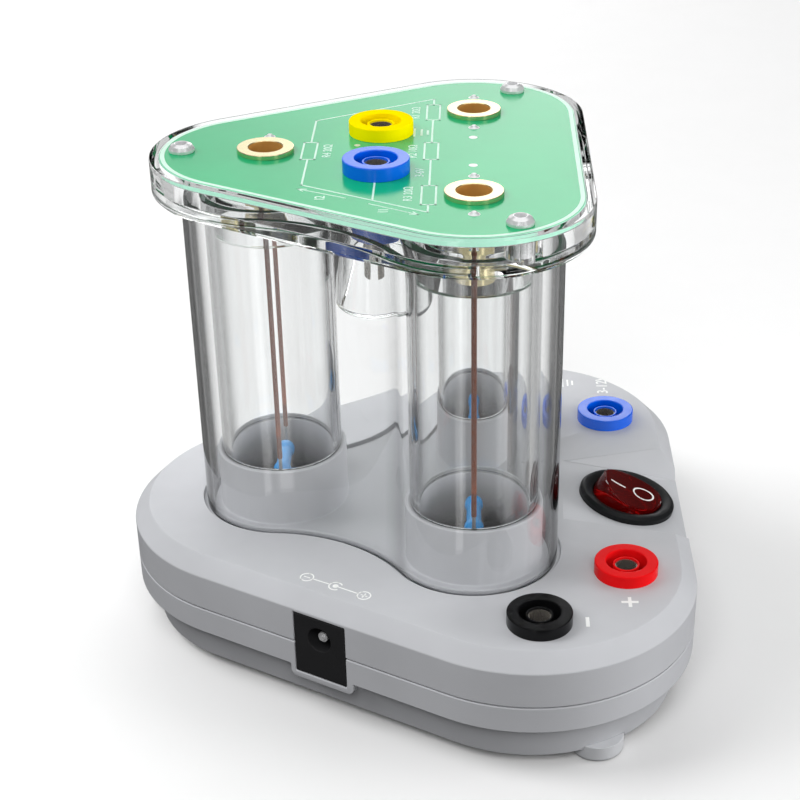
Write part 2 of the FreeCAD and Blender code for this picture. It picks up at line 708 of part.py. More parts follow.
# ---- rocker switch ----
def rocker_housing():
    """Round bezel and barrel with a well that the rocker tilts in."""
    edge = BEZEL_HEIGHT - BEZEL_EDGE
    barrel = lathe((0, 0), (
        (0, -ROCKER_BODY_DEPTH),
        (ROCKER_BODY, -ROCKER_BODY_DEPTH),
        (ROCKER_BODY, 0),
        (BEZEL_RADIUS, 0),
        (BEZEL_RADIUS, edge),
        (BEZEL_RADIUS - BEZEL_EDGE, BEZEL_HEIGHT),
        (BEZEL_FLAT_INNER, BEZEL_HEIGHT),
        (ROCKER_WELL, BEZEL_INNER_HEIGHT),
        (ROCKER_WELL, -ROCKER_WELL_DEPTH),
        (0, -ROCKER_WELL_DEPTH),
    ))
    hole_start = vec(0, -PIVOT_HOLE_END, ROCKER_PIVOT_UP)
    hole = Part.makeCylinder(PIVOT_HOLE, 2 * PIVOT_HOLE_END, hole_start, ALONG_Y)
    return place_on_wedge(barrel.cut(hole))


def rocker_button():
    """Round see-saw button with a dished top, resting with its outer half pressed."""
    slab = disc((0, 0), BUTTON_RADIUS, -BUTTON_UNDER, BUTTON_SHOULDER_UP)
    shoulder = math.sqrt(BUTTON_RADIUS ** 2 - BUTTON_SHOULDER_UP ** 2)
    rim_height = BUTTON_TOP - BUTTON_SHOULDER_UP
    rim = Part.makeCone(shoulder, BUTTON_RIM, rim_height, vec(0, 0, BUTTON_SHOULDER_UP))
    button = Part.makeSphere(BUTTON_RADIUS).common(slab).fuse(rim)
    dish_start = vec(0, -BUTTON_RADIUS, BUTTON_TOP - BUTTON_DISH_DEPTH + BUTTON_DISH_RADIUS)
    dish = Part.makeCylinder(BUTTON_DISH_RADIUS, 2 * BUTTON_RADIUS, dish_start, ALONG_Y)
    pin = Part.makeCylinder(PIVOT_PIN, 2 * PIVOT_PIN_END, vec(0, -PIVOT_PIN_END), ALONG_Y)
    button = button.cut(dish).fuse(pin).removeSplitter()
    button.rotate(ORIGIN, ALONG_Y, BUTTON_TILT)
    button.translate(UP * ROCKER_PIVOT_UP)
    return place_on_wedge(button)


def rocker_blades():
    blades = []
    for offset in BLADE_OFFSETS:
        low = vec(offset - BLADE_THICKNESS / 2, -BLADE_WIDTH / 2, -ROCKER_BODY_DEPTH - BLADE_LENGTH)
        high = vec(offset + BLADE_THICKNESS / 2, BLADE_WIDTH / 2, -ROCKER_BODY_DEPTH)
        blades.append(place_on_wedge(box(low, high)))
    return blades


# ---- supply inlet ----
def inlet_housing():
    low = INLET_ALONG - INLET_WIDTH / 2
    high = INLET_ALONG + INLET_WIDTH / 2
    block = inlet_block(low, high, INLET_DEPTH, INLET_BOTTOM, INLET_TOP)
    pin_hole = inlet_rod(INLET_PIN + PRESS, 0, INLET_DEPTH)
    return block.cut([inlet_rod(INLET_HOLE, 0, INLET_HOLE_DEPTH), pin_hole])


def inlet_pin():
    tip = INLET_PIN_SET_BACK + INLET_PIN / 2
    shaft = inlet_rod(INLET_PIN, tip, INLET_DEPTH)
    return shaft.fuse(inlet_rod(INLET_PIN / 2, INLET_PIN_SET_BACK, tip)).removeSplitter()


def inlet_blades():
    low = INLET_ALONG - INLET_BLADE_WIDTH / 2
    high = INLET_ALONG + INLET_BLADE_WIDTH / 2
    end = INLET_DEPTH + INLET_BLADE_LENGTH
    blades = []
    for rise in INLET_BLADE_RISES:
        bottom = (INLET_BOTTOM + INLET_TOP - INLET_BLADE_THICKNESS) / 2 + rise
        blade = inlet_block(low, high, end, bottom, bottom + INLET_BLADE_THICKNESS)
        blades.append(blade.cut(inlet_block(low, high, INLET_DEPTH, INLET_BOTTOM, INLET_TOP)))
    return blades


# ---- heaters ----
def resistor(letter):
    """Film resistor lying along Y, waisted between its two end bells."""
    axis = chamber_axis(letter)
    neck = RESISTOR_HALF - RESISTOR_END_LENGTH
    shape = lathe((0, 0), (
        (0, -RESISTOR_HALF),
        (RESISTOR_END - RESISTOR_ROUND, -RESISTOR_HALF),
        (RESISTOR_END, -RESISTOR_HALF + RESISTOR_ROUND),
        (RESISTOR_END, -neck - RESISTOR_ROUND),
        (RESISTOR_WAIST, -neck),
        (RESISTOR_WAIST, neck),
        (RESISTOR_END, neck + RESISTOR_ROUND),
        (RESISTOR_END, RESISTOR_HALF - RESISTOR_ROUND),
        (RESISTOR_END - RESISTOR_ROUND, RESISTOR_HALF),
        (0, RESISTOR_HALF),
    ))
    shape.rotate(ORIGIN, vec(1, 0, 0), -HALF_TURN / 2)
    shape.translate(vec(axis[0], axis[1], RESISTOR_Z))
    return shape


def resistor_leads(letter):
    axis = chamber_axis(letter)
    leads = []
    for side in (-1, 1):
        start = vec(axis[0], axis[1] + side * RESISTOR_HALF, RESISTOR_Z)
        bend = vec(axis[0], axis[1] + side * LEAD_OFFSET, RESISTOR_Z)
        top = vec(axis[0], axis[1] + side * LEAD_OFFSET, COLLAR_TOP)
        leads.append(rod([start, bend, top], LEAD_RADIUS))
    return leads


def heater_wires(letter):
    """Two wires up a chamber: each splays to its pad, or ends under the board where it has none."""
    axis = chamber_axis(letter)
    wires = []
    for side in (-1, 1):
        near = axis[1] + side * LEAD_OFFSET
        points = [vec(axis[0], near, COLLAR_TOP)]
        pads = [place for place in pad_places(letter) if (place[1] - axis[1]) * side > 0]
        for x, y in pads:
            points.append(vec(axis[0], near, LID_TOP - WIRE_BEND_LOW))
            points.append(vec(x, y, LID_TOP - WIRE_BEND_HIGH))
            points.append(vec(x, y, LID_TOP))
        if not pads:
            points.append(vec(axis[0], near, BOARD_UNDER))
        wires.append(rod(points, WIRE_RADIUS))
    return wires


def solder_joint(place):
    """Cone of solder on the board's pad."""
    top = LID_TOP + SOLDER_HEIGHT
    return lathe(place, ((0, LID_TOP), (SOLDER_RADIUS, LID_TOP), (SOLDER_TIP, top), (0, top)))


# ---- the assembly: one entry per node, several solids where a node is a group ----
nodes = {
    "base_upper_shell": [base_upper_shell()],
    "base_lower_shell": [base_lower_shell()],
    "feet": feet(),
    "case_screws": [case_screw(place) for place in case_screw_places()],
    "chamber_seat": [chamber_seat()],
    "clear_wall": [clear_wall()],
    "clear_lid": [clear_lid()],
    "circuit_board": [circuit_board()],
    "lid_screws": [lid_screw(place) for place in lid_screw_places()],
    "rocker_housing": [rocker_housing()],
    "rocker_button": [rocker_button()],
    "rocker_blades": rocker_blades(),
    "inlet_housing": [inlet_housing()],
    "inlet_pin": [inlet_pin()],
    "inlet_blades": inlet_blades(),
}
nuts = [socket_nut(place, BOARD_UNDER) for place in LID_SOCKETS.values()]
nuts += [socket_nut(place, CEILING) for place in base_sockets().values()]
nodes["socket_nuts"] = nuts
for sockets, panel in ((LID_SOCKETS, LID_TOP), (base_sockets(), BASE_TOP)):
    for colour, place in sockets.items():
        nodes["socket_" + colour] = [socket_insulator(place, panel)]
        nodes["contact_" + colour] = [socket_contact(place, panel)]
joints = []
for letter in AXIS_ORDER:
    nodes["chamber_tube_" + letter] = [chamber_tube(letter)]
    nodes["ferrule_" + letter] = [ferrule(letter)]
    nodes["resistor_" + letter] = [resistor(letter)]
    nodes["resistor_leads_" + letter] = resistor_leads(letter)
    nodes["heater_wires_" + letter] = heater_wires(letter)
    joints += [solder_joint(place) for place in pad_places(letter)]
nodes["solder_joints"] = joints

os.makedirs("parts", exist_ok=True)
for name, solids in nodes.items():
    shape = solids[0] if len(solids) == 1 else Part.makeCompound(solids)
    shape.exportStep("parts/" + name + ".step")
    print(name, len(shape.Solids), round(shape.Volume, 3), shape.isValid())
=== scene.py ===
import bmesh
import bpy
import math
from mathutils import Matrix, Vector


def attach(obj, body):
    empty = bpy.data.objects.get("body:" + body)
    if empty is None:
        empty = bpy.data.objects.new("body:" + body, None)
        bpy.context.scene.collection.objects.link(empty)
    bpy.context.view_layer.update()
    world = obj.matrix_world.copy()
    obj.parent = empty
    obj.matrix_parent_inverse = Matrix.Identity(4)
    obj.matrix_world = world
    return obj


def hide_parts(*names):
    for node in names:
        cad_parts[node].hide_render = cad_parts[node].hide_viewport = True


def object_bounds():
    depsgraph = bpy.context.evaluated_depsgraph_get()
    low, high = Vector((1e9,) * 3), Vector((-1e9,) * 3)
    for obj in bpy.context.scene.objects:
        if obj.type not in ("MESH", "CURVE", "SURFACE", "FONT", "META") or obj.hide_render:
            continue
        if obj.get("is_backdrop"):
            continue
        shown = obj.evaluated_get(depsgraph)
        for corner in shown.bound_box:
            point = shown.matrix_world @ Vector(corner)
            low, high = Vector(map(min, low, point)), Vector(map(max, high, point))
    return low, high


# Electric heating demonstrator: a grey case, three clear heating chambers on it, and a circuit
# board in a clear lid on top. Sizes are in millimetres, and turn into metres as meshes are made.
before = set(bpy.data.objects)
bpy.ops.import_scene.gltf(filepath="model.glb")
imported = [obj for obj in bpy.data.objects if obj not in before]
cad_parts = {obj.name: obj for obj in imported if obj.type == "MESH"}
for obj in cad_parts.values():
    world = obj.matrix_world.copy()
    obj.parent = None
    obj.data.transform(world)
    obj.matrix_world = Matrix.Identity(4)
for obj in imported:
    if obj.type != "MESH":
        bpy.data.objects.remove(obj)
cad_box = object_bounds()

# ==== Lower half of the case ======================================================================
# A tray injection-moulded in satin grey ABS: a straight band, a tapered pan under it, and a plate
# that hangs down round the supply inlet. The mould leaves each outer edge a little rounded.
MM = 0.001
CASE_EDGE = 0.22
CASE_GREY = (0.50, 0.507, 0.53)


def link_nodes(tree, pairs):
    for source, target in pairs:
        tree.links.new(source, target)


def noise_field(tree, scale, detail, coordinates):
    field = tree.nodes.new("ShaderNodeTexNoise")
    field.inputs["Scale"].default_value = scale
    field.inputs["Detail"].default_value = detail
    link_nodes(tree, [(coordinates.outputs["Object"], field.inputs["Vector"])])
    return field


def remap(tree, source, low, high, from_low=0.3, from_high=0.7, kind="LINEAR"):
    span = tree.nodes.new("ShaderNodeMapRange")
    span.interpolation_type = kind
    span.inputs["From Min"].default_value = from_low
    span.inputs["From Max"].default_value = from_high
    span.inputs["To Min"].default_value = low
    span.inputs["To Max"].default_value = high
    link_nodes(tree, [(source, span.inputs["Value"])])
    return span.outputs["Result"]


def tone(colour, factor):
    return (*(min(1.0, channel * factor) for channel in colour), 1.0)


def shader_of(material):
    return material.node_tree.nodes["Principled BSDF"]


def surface(name, colour, roughness, grain, relief, spread=0.06, shade=0.04, metal=0.0, gloss=0.5):
    """Plastic, metal or lacquer with a fine grain, a cloudy roughness and faint changes of tone."""
    material = bpy.data.materials.new(name)
    material.use_nodes = True
    tree = material.node_tree
    shader = shader_of(material)
    shader.inputs["Metallic"].default_value = metal
    shader.inputs["Specular IOR Level"].default_value = gloss
    place = tree.nodes.new("ShaderNodeTexCoord")
    clouds = noise_field(tree, 55.0, 3.0, place)
    blotches = noise_field(tree, 420.0, 2.0, place)
    fine = noise_field(tree, grain, 2.0, place)
    mix = tree.nodes.new("ShaderNodeMix")
    mix.data_type = "RGBA"
    mix.inputs[6].default_value = tone(colour, 1 - shade)
    mix.inputs[7].default_value = tone(colour, 1 + shade)
    bump = tree.nodes.new("ShaderNodeBump")
    bump.inputs["Distance"].default_value = relief * MM
    bump.inputs["Strength"].default_value = 1.0
    rough = remap(tree, blotches.outputs["Fac"], roughness - spread, roughness + spread)
    link_nodes(tree, [
        (remap(tree, clouds.outputs["Fac"], 0.0, 1.0), mix.inputs[0]),
        (mix.outputs[2], shader.inputs["Base Color"]),
        (rough, shader.inputs["Roughness"]),
        (fine.outputs["Fac"], bump.inputs["Height"]),
        (bump.outputs["Normal"], shader.inputs["Normal"]),
    ])
    return material


def mesh_from(work, name):
    """Ends the work on a mesh: every face turned outward, and the mesh handed over."""
    bmesh.ops.recalc_face_normals(work, faces=work.faces)
    mesh = bpy.data.meshes.new(name)
    work.to_mesh(mesh)
    work.free()
    return mesh


def as_piece(name, mesh, material, smooth_angle=35.0):
    """Turns a finished mesh into an object at the origin, smooth but for its sharp edges."""
    mesh.materials.clear()
    mesh.materials.append(material)
    mesh.shade_smooth()
    mesh.set_sharp_from_angle(angle=math.radians(smooth_angle))
    mesh.name = name
    piece = bpy.data.objects.new(name, mesh)
    bpy.context.scene.collection.objects.link(piece)
    return piece


def result_mesh(piece):
    """Plain mesh of a piece as its modifiers leave it."""
    bpy.context.view_layer.update()
    seen = piece.evaluated_get(bpy.context.evaluated_depsgraph_get())
    return bpy.data.meshes.new_from_object(seen)


def applied(piece):
    """Bakes the piece's modifiers into a plain mesh."""
    mesh = result_mesh(piece)
    piece.modifiers.clear()
    piece.data = mesh
    return piece


def moulded_from(name, node, edge, material, steps=3, limit=30.0):
    """The part's own shape with its corners rounded as a mould rounds them."""
    work = bmesh.new()
    work.from_mesh(cad_parts[node].data)
    bmesh.ops.remove_doubles(work, verts=work.verts, dist=0.002 * MM)
    bmesh.ops.dissolve_limit(
        work, angle_limit=math.radians(0.4), verts=work.verts, edges=work.edges)
    piece = as_piece(name, mesh_from(work, name), material)
    rounding = piece.modifiers.new("edge", "BEVEL")
    rounding.width = edge * MM
    rounding.segments = steps
    rounding.limit_method = "ANGLE"
    rounding.angle_limit = math.radians(limit)
    rounding.use_clamp_overlap = False
    rounding.harden_normals = True
    rounding.miter_outer = "MITER_ARC"
    return applied(piece)


def fitted(piece, body, slot, *replaced):
    """Puts a finished piece on its body in place of the plain solids it stands for."""
    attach(piece, body)
    if replaced:
        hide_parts(*replaced)


case_plastic = surface("case_satin_grey", CASE_GREY, 0.46, 2600.0, 0.006, gloss=0.15)
case_lower = moulded_from("case_lower", "base_lower_shell", CASE_EDGE, case_plastic)
fitted(case_lower, "demonstrator", "case_grey", "base_lower_shell")

# ==== Upper half of the case ======================================================================
# A second moulding in the same grey ABS, set down on the tray: a flat top inside a sloped shoulder,
# with a recess for the seat, a sloping pocket for the switch, and holes for sockets and inlet.
case_upper = moulded_from("case_upper", "base_upper_shell", CASE_EDGE, case_plastic)
fitted(case_upper, "demonstrator", "case_grey", "base_upper_shell")

# ==== Feet ========================================================================================
# Three pale grey rubber feet, moulded as short round pads with a soft rim and a small sunk ring
# underneath, pressed into pockets in the pan.
FOOT_RADIUS = 5.27
FOOT_TOP = 3.4
FOOT_PLACES = ((-51.45, 0.0), (37.636, -51.967), (37.636, 51.967))
ROUND_STEPS = 72
SUPPORT = 0.02


def softened(corners, rounds, steps=4):
    """Outline in a plane with its corners rounded: one radius for each corner, 0 for a sharp one.

    A point set just before and after each arc keeps the long faces beside it truly flat."""
    outline = []
    count = len(corners)
    for index, corner in enumerate(corners):
        point = Vector(corner)
        if rounds[index] == 0:
            outline.append(point)
            continue
        before = (Vector(corners[index - 1]) - point).normalized()
        after = (Vector(corners[(index + 1) % count]) - point).normalized()
        half = before.angle(after) / 2
        reach = rounds[index] / math.tan(half)
        middle = point + (before + after).normalized() * (rounds[index] / math.sin(half))
        start = point + before * reach - middle
        swing = (point + after * reach - middle).angle_signed(start)
        outline.append(point + before * (reach + SUPPORT))
        for step in range(steps + 1):
            turn = Matrix.Rotation(swing * step / steps, 2)
            outline.append(middle + turn @ start)
        outline.append(point + after * (reach + SUPPORT))
    return outline


def turned(name, profile, material, centre=(0, 0), steps=ROUND_STEPS, smooth_angle=35.0):
    """Spins an outline of (radius, height) points about an upright axis through centre."""
    work = bmesh.new()
    rings = []
    for radius, height in profile:
        if radius < 1e-6:
            rings.append([work.verts.new((centre[0] * MM, centre[1] * MM, height * MM))])
            continue
        ring = []
        for step in range(steps):
            angle = 2 * math.pi * step / steps
            x = centre[0] + radius * math.cos(angle)
            y = centre[1] + radius * math.sin(angle)
            ring.append(work.verts.new((x * MM, y * MM, height * MM)))
        rings.append(ring)
    for first, second in zip(rings, rings[1:] + rings[:1]):
        for step in range(steps):
            following = (step + 1) % steps
            corners = [first[step % len(first)], first[following % len(first)]]
            corners += [second[following % len(second)], second[step % len(second)]]
            corners = list(dict.fromkeys(corners))
            if len(corners) > 2:
                work.faces.new(corners)
    return as_piece(name, mesh_from(work, name), material, smooth_angle)


def points_mesh(name, places):
    mesh = bpy.data.meshes.new(name)
    mesh.from_pydata([(x * MM, y * MM, z * MM) for x, y, z in places], [], [])
    piece = bpy.data.objects.new(name, mesh)
    bpy.context.scene.collection.objects.link(piece)
    return piece


def tree_with(name, inputs):
    """New geometry tree with its named inputs; returns the tree, its input and output nodes."""
    tree = bpy.data.node_groups.new(name, "GeometryNodeTree")
    tree.interface.new_socket("Geometry", in_out="INPUT", socket_type="NodeSocketGeometry")
    for label, kind in inputs:
        tree.interface.new_socket(label, in_out="INPUT", socket_type=kind)
    tree.interface.new_socket("Geometry", in_out="OUTPUT", socket_type="NodeSocketGeometry")
    return tree, tree.nodes.new("NodeGroupInput"), tree.nodes.new("NodeGroupOutput")


def add_tree(piece, tree, values):
    """Puts a tree on a piece and sets its inputs by socket identifier."""
    modifier = piece.modifiers.new(tree.name, "NODES")
    modifier.node_group = tree
    for item in tree.interface.items_tree:
        if item.in_out == "INPUT" and item.name in values:
            modifier[item.identifier] = values[item.name]


def copies_tree(name):
    """One copy of a pattern piece on every point."""
    tree, given, result = tree_with(name, [("Pattern", "NodeSocketObject")])
    pattern = tree.nodes.new("GeometryNodeObjectInfo")
    copies = tree.nodes.new("GeometryNodeInstanceOnPoints")
    real = tree.nodes.new("GeometryNodeRealizeInstances")
    link_nodes(tree, [
        (given.outputs["Geometry"], copies.inputs["Points"]),
        (given.outputs["Pattern"], pattern.inputs["Object"]),
        (pattern.outputs["Geometry"], copies.inputs["Instance"]),
        (copies.outputs["Instances"], real.inputs["Geometry"]),
        (real.outputs["Geometry"], result.inputs["Geometry"]),
    ])
    return tree


copies_on_points = copies_tree("copies_on_points")


def copied(name, pattern, places):
    """Several like pieces as one object: the pattern stands at the origin and is then removed."""
    piece = points_mesh(name, places)
    add_tree(piece, copies_on_points, {"Pattern": pattern})
    applied(piece)
    bpy.data.objects.remove(pattern)
    return piece


foot_rubber = surface("foot_pale_rubber", (0.56, 0.57, 0.59), 0.72, 1800.0, 0.02)
foot_outline = softened(
    [(0, 0.4), (2.2, 0.4), (2.4, 0.0), (FOOT_RADIUS, 0.0), (FOOT_RADIUS, FOOT_TOP), (0, FOOT_TOP)],
    [0, 0.15, 0.15, 0.7, 0.1, 0])
foot = turned("foot_pattern", foot_outline, foot_rubber)
feet = copied("feet_pads", foot, [(x, y, 0.0) for x, y in FOOT_PLACES])
fitted(feet, "demonstrator", "foot_rubber", "feet")

# ==== Case screws =================================================================================
# Four plated steel screws driven up from below through the posts of the lower half; only their
# heads show, deep in their holes.
STEEL = (0.78, 0.78, 0.79)
screw_steel = surface("screw_plated_steel", STEEL, 0.24, 900.0, 0.0008, metal=0.5)


def finished(material, *names):
    """Gives a carried-over plain solid its finish."""
    for name in names:
        cad_parts[name].data.materials.clear()
        cad_parts[name].data.materials.append(material)


finished(screw_steel, "case_screws")

# ==== Chamber seat ================================================================================
# One grey moulding let into the top of the case: a three-lobed plate with a collar and a deep cup
# under each chamber. Its rims are rounded more than the case's edges.
SEAT_EDGE = 0.35
SEAT_GREY = (0.45, 0.457, 0.48)
CUP_GREY = (0.60, 0.61, 0.64)
seat_plastic = surface("seat_satin_grey", SEAT_GREY, 0.44, 2600.0, 0.006, gloss=0.2)
seat = moulded_from("seat", "chamber_seat", SEAT_EDGE, seat_plastic)
CHAMBER_AXES = ((-26.05, 0.0), (13.7, 22.95), (13.7, -22.95))
CUP_BORE = 11.2
CUP_FLOOR = 28.0
CUP_TOP = 39.5


def painted_shade_cup(name, colour, low, high, darkest):
    """The seat's plastic with painted shade: darker towards the bottom of the cups, where little
    light gets in.
    """
    material = surface(name, colour, 0.40, 2600.0, 0.006, gloss=0.2)
    shader = shader_of(material)
    tree = material.node_tree
    place = tree.nodes.new("ShaderNodeTexCoord")
    split = tree.nodes.new("ShaderNodeSeparateXYZ")
    shade = tree.nodes.new("ShaderNodeMix")
    shade.data_type = "RGBA"
    shade.blend_type = "MULTIPLY"
    shade.inputs[0].default_value = 1.0
    unshaded = shader.inputs["Base Color"].links[0].from_socket
    link_nodes(tree, [
        (place.outputs["Object"], split.inputs["Vector"]),
        (unshaded, shade.inputs[6]),
        (remap(tree, split.outputs["Z"], darkest, 1.0, low * MM, high * MM), shade.inputs[7]),
        (shade.outputs[2], shader.inputs["Base Color"]),
    ])
    return material


# Painted shade: the cups' grey darkens to near black at their floor, in place of the shade inside
# them.
painted_cup_shade = painted_shade_cup("cup_painted_shade_grey", CUP_GREY, CUP_FLOOR, CUP_TOP, 0.08)
seat.data.materials.append(painted_cup_shade)
# Faces inside a cup and below its rim get the painted-shade material.
for face in seat.data.polygons:
    spots = [seat.data.vertices[index].co / MM for index in face.vertices]
    reach = min(max(math.dist(spot.xy, axis) for spot in spots) for axis in CHAMBER_AXES)
    face.material_index = int(reach < CUP_BORE + 0.1 and face.center.z < CUP_TOP * MM)
fitted(seat, "demonstrator", "seat_grey", "chamber_seat")

# ==== Resistors ===================================================================================
# Three film resistors, dipped in sky blue lacquer so that both end bells swell and their edges
# run smooth. Each lies level across the foot of its chamber.
RESISTOR_HEIGHT = 35.5
RESISTOR_COLOUR = (0.0, 0.30, 0.75)
lacquer = surface("resistor_blue_lacquer", RESISTOR_COLOUR, 0.16, 700.0, 0.012, gloss=0.3)
resistor_outline = softened(
    [(0, -6.0), (1.15, -6.0), (1.9, -5.2), (1.9, -3.9), (1.5, -3.1), (1.5, 3.1),
     (1.9, 3.9), (1.9, 5.2), (1.15, 6.0), (0, 6.0)],
    [0, 0.4, 0.7, 0.8, 1.0, 1.0, 0.8, 0.7, 0.4, 0])
for letter, (x, y) in zip("abc", CHAMBER_AXES):
    resistor = turned("heater_" + letter, resistor_outline, lacquer, steps=40, smooth_angle=60.0)
    resistor.data.transform(Matrix.Rotation(math.radians(-90), 4, "X"))
    resistor.data.transform(Matrix.Translation(Vector((x, y, RESISTOR_HEIGHT)) * MM))
    fitted(resistor, "demonstrator", "resistor_blue", "resistor_" + letter)

# ==== Leads and heater wires ======================================================================
# Tinned leads turn up from each resistor and are crimped to brown enamelled copper wires, which
# rise through the chamber and splay a little to their pads. One wire ends under the board.
LEAD_RADIUS = 0.35
WIRE_RADIUS = 0.5
LEAD_OFFSET = 7.0
PAD_OFFSETS = {"a": (8.2,), "b": (-9.4, 9.4), "c": (-9.4, 9.4)}
CAP_LENGTH = 5.6
COLLAR_TOP = 39.8
LID_TOP = 102.35
BOARD_UNDER = 100.75
SPLAY_DEPTHS = (5.0, 1.9)
LEAD_BEND = 0.8
WIRE_BEND = 1.2


def wire_tree():
    """Round wire along a path, with each bend drawn to a radius."""
    tree, given, result = tree_with("round_wire", [
        ("Wire Radius", "NodeSocketFloat"),
        ("Bend Radius", "NodeSocketFloat"),
    ])
    bends = tree.nodes.new("GeometryNodeFilletCurve")
    bends.mode = "POLY"
    bends.inputs["Count"].default_value = 8
    section = tree.nodes.new("GeometryNodeCurvePrimitiveCircle")
    section.inputs["Resolution"].default_value = 20
    body = tree.nodes.new("GeometryNodeCurveToMesh")
    body.inputs["Fill Caps"].default_value = True
    link_nodes(tree, [
        (given.outputs["Geometry"], bends.inputs["Curve"]),
        (given.outputs["Bend Radius"], bends.inputs["Radius"]),
        (bends.outputs["Curve"], body.inputs["Curve"]),
        (given.outputs["Wire Radius"], section.inputs["Radius"]),
        (section.outputs["Curve"], body.inputs["Profile Curve"]),
        (body.outputs["Mesh"], result.inputs["Geometry"]),
    ])
    return tree


round_wire = wire_tree()


def bent_wires(name, paths, radius, bend, material):
    """Like wires as one piece, each following its own run of points."""
    curve = bpy.data.curves.new(name, "CURVE")
    curve.dimensions = "3D"
    for path in paths:
        run = curve.splines.new("POLY")
        run.points.add(len(path) - 1)
        for point, place in zip(run.points, path):
            point.co = (*(value * MM for value in place), 1.0)
    source = bpy.data.objects.new(name + "_path", curve)
    bpy.context.scene.collection.objects.link(source)
    add_tree(source, round_wire, {"Wire Radius": radius * MM, "Bend Radius": bend * MM})
    mesh = result_mesh(source)
    bpy.data.objects.remove(source)
    return as_piece(name, mesh, material, 50.0)


ENAMEL = (0.13, 0.026, 0.003)
copper = surface("wire_enamelled_copper", ENAMEL, 0.34, 500.0, 0.002, gloss=0.15)
dull_tin = surface("lead_dull_tin", (0.30, 0.31, 0.32), 0.42, 700.0, 0.001, metal=0.5)
for letter, (x, y) in zip("abc", CHAMBER_AXES):
    leads = []
    wires = []
    for side in (-1, 1):
        near = y + side * LEAD_OFFSET
        cap = (x, y + side * CAP_LENGTH, RESISTOR_HEIGHT)
        leads.append([cap, (x, near, RESISTOR_HEIGHT), (x, near, COLLAR_TOP)])
        rise = [(x, near, COLLAR_TOP)]
        for far in [y + offset for offset in PAD_OFFSETS[letter] if offset * side > 0]:
            low, high = (LID_TOP - depth for depth in SPLAY_DEPTHS)
            rise += [(x, near, low), (x, far, high), (x, far, LID_TOP)]
        if len(rise) == 1:
            rise.append((x, near, BOARD_UNDER))
        wires.append(rise)
    lead = bent_wires("leads_" + letter, leads, LEAD_RADIUS, LEAD_BEND, dull_tin)
    fitted(lead, "demonstrator", "lead_tin", "resistor_leads_" + letter)
    wire = bent_wires("wires_" + letter, wires, WIRE_RADIUS, WIRE_BEND, copper)
    fitted(wire, "demonstrator", "wire_copper", "heater_wires_" + letter)

# ==== Clear tubes =================================================================================
# Three lengths of polished clear tube, cut square with their ends flamed round. Each stands in
# its collar and is closed at the top by the lid's plug.
TUBE_OUTER = 12.7
TUBE_INNER = 10.95
TUBE_BOTTOM = 39.3
LID_BOTTOM = 94.9
TOUCH = 0.04
CLEAR_TINT = (0.985, 0.99, 0.99)
EDGE_SHADE_FACING = (0.47, 0.69)


def clear_moulding(name, ripple, ripple_scale, painted_edge_shade, let_through, bending=1.49):
    """Clear acrylic: bends light as the real wall does, is painted darker where it is seen edge-on
    in place of the shade its edges would show, and lets lamplight through to the inside."""
    material = bpy.data.materials.new(name)
    material.use_nodes = True
    tree = material.node_tree
    shader = shader_of(material)
    output = tree.nodes["Material Output"]
    shader.inputs["Transmission Weight"].default_value = 1.0
    shader.inputs["IOR"].default_value = bending
    place = tree.nodes.new("ShaderNodeTexCoord")
    waves = noise_field(tree, ripple_scale, 1.0, place)
    haze = noise_field(tree, 160.0, 2.0, place)
    bump = tree.nodes.new("ShaderNodeBump")
    bump.inputs["Distance"].default_value = ripple * MM
    facing = tree.nodes.new("ShaderNodeLayerWeight")
    facing.inputs["Blend"].default_value = 0.5
    # Painted shade: the colour darkens towards the faces seen edge-on.
    colour = tree.nodes.new("ShaderNodeMix")
    colour.data_type = "RGBA"
    colour.inputs[6].default_value = tone(CLEAR_TINT, 1.0)
    colour.inputs[7].default_value = tone(CLEAR_TINT, painted_edge_shade)
    lamp = tree.nodes.new("ShaderNodeLightPath")
    through = tree.nodes.new("ShaderNodeBsdfTransparent")
    through.inputs["Color"].default_value = (let_through, let_through, let_through, 1.0)
    blend = tree.nodes.new("ShaderNodeMixShader")
    link_nodes(tree, [
        (waves.outputs["Fac"], bump.inputs["Height"]),
        (bump.outputs["Normal"], shader.inputs["Normal"]),
        (remap(tree, haze.outputs["Fac"], 0.0, 0.02), shader.inputs["Roughness"]),
        (remap(tree, facing.outputs["Facing"], 0.0, 1.0, *EDGE_SHADE_FACING), colour.inputs[0]),
        (colour.outputs[2], shader.inputs["Base Color"]),
        (lamp.outputs["Is Shadow Ray"], blend.inputs[0]),
        (shader.outputs["BSDF"], blend.inputs[1]),
        (through.outputs["BSDF"], blend.inputs[2]),
        (blend.outputs["Shader"], output.inputs["Surface"]),
    ])
    return material


tube_clear = clear_moulding("tube_polished_clear", 0.004, 40.0, 0.5, 0.93)
TUBE_TOP = LID_BOTTOM - TOUCH
tube_outline = softened(
    [(TUBE_INNER, TUBE_BOTTOM), (TUBE_OUTER, TUBE_BOTTOM),
     (TUBE_OUTER, TUBE_TOP), (TUBE_INNER, TUBE_TOP)],
    [0.3, 0.3, 0.3, 0.3])
for letter, axis in zip("abc", CHAMBER_AXES):
    tube = turned("tube_" + letter, tube_outline, tube_clear, axis, steps=128)
    fitted(tube, "demonstrator", "clear_acrylic", "chamber_tube_" + letter)

# ==== Outer wall ==================================================================================
# One thick clear moulding round all three chambers: three lobes joined by hollow waists, standing
# in the groove of the case and held down by the lid. Its faces ripple very slightly.
CENTRE_X = 0.45
AXIS_DISTANCE = 26.5
WAIST_DISTANCE = 56.2
WALL_LOBE = 16.8
WALL_THICKNESS = 1.4
WALL_BOTTOM = 26.4 + TOUCH
DIRECTIONS = (180.0, 300.0, 60.0)


def point_at(centre, radius, angle):
    turn = math.radians(angle)
    return (centre[0] + radius * math.cos(turn), centre[1] + radius * math.sin(turn))


def arc_run(centre, radius, start, end, arc_step, side):
    count = max(2, round(abs(end - start) / arc_step))
    return [(centre, radius, start + (end - start) * step / count, side) for step in range(count)]


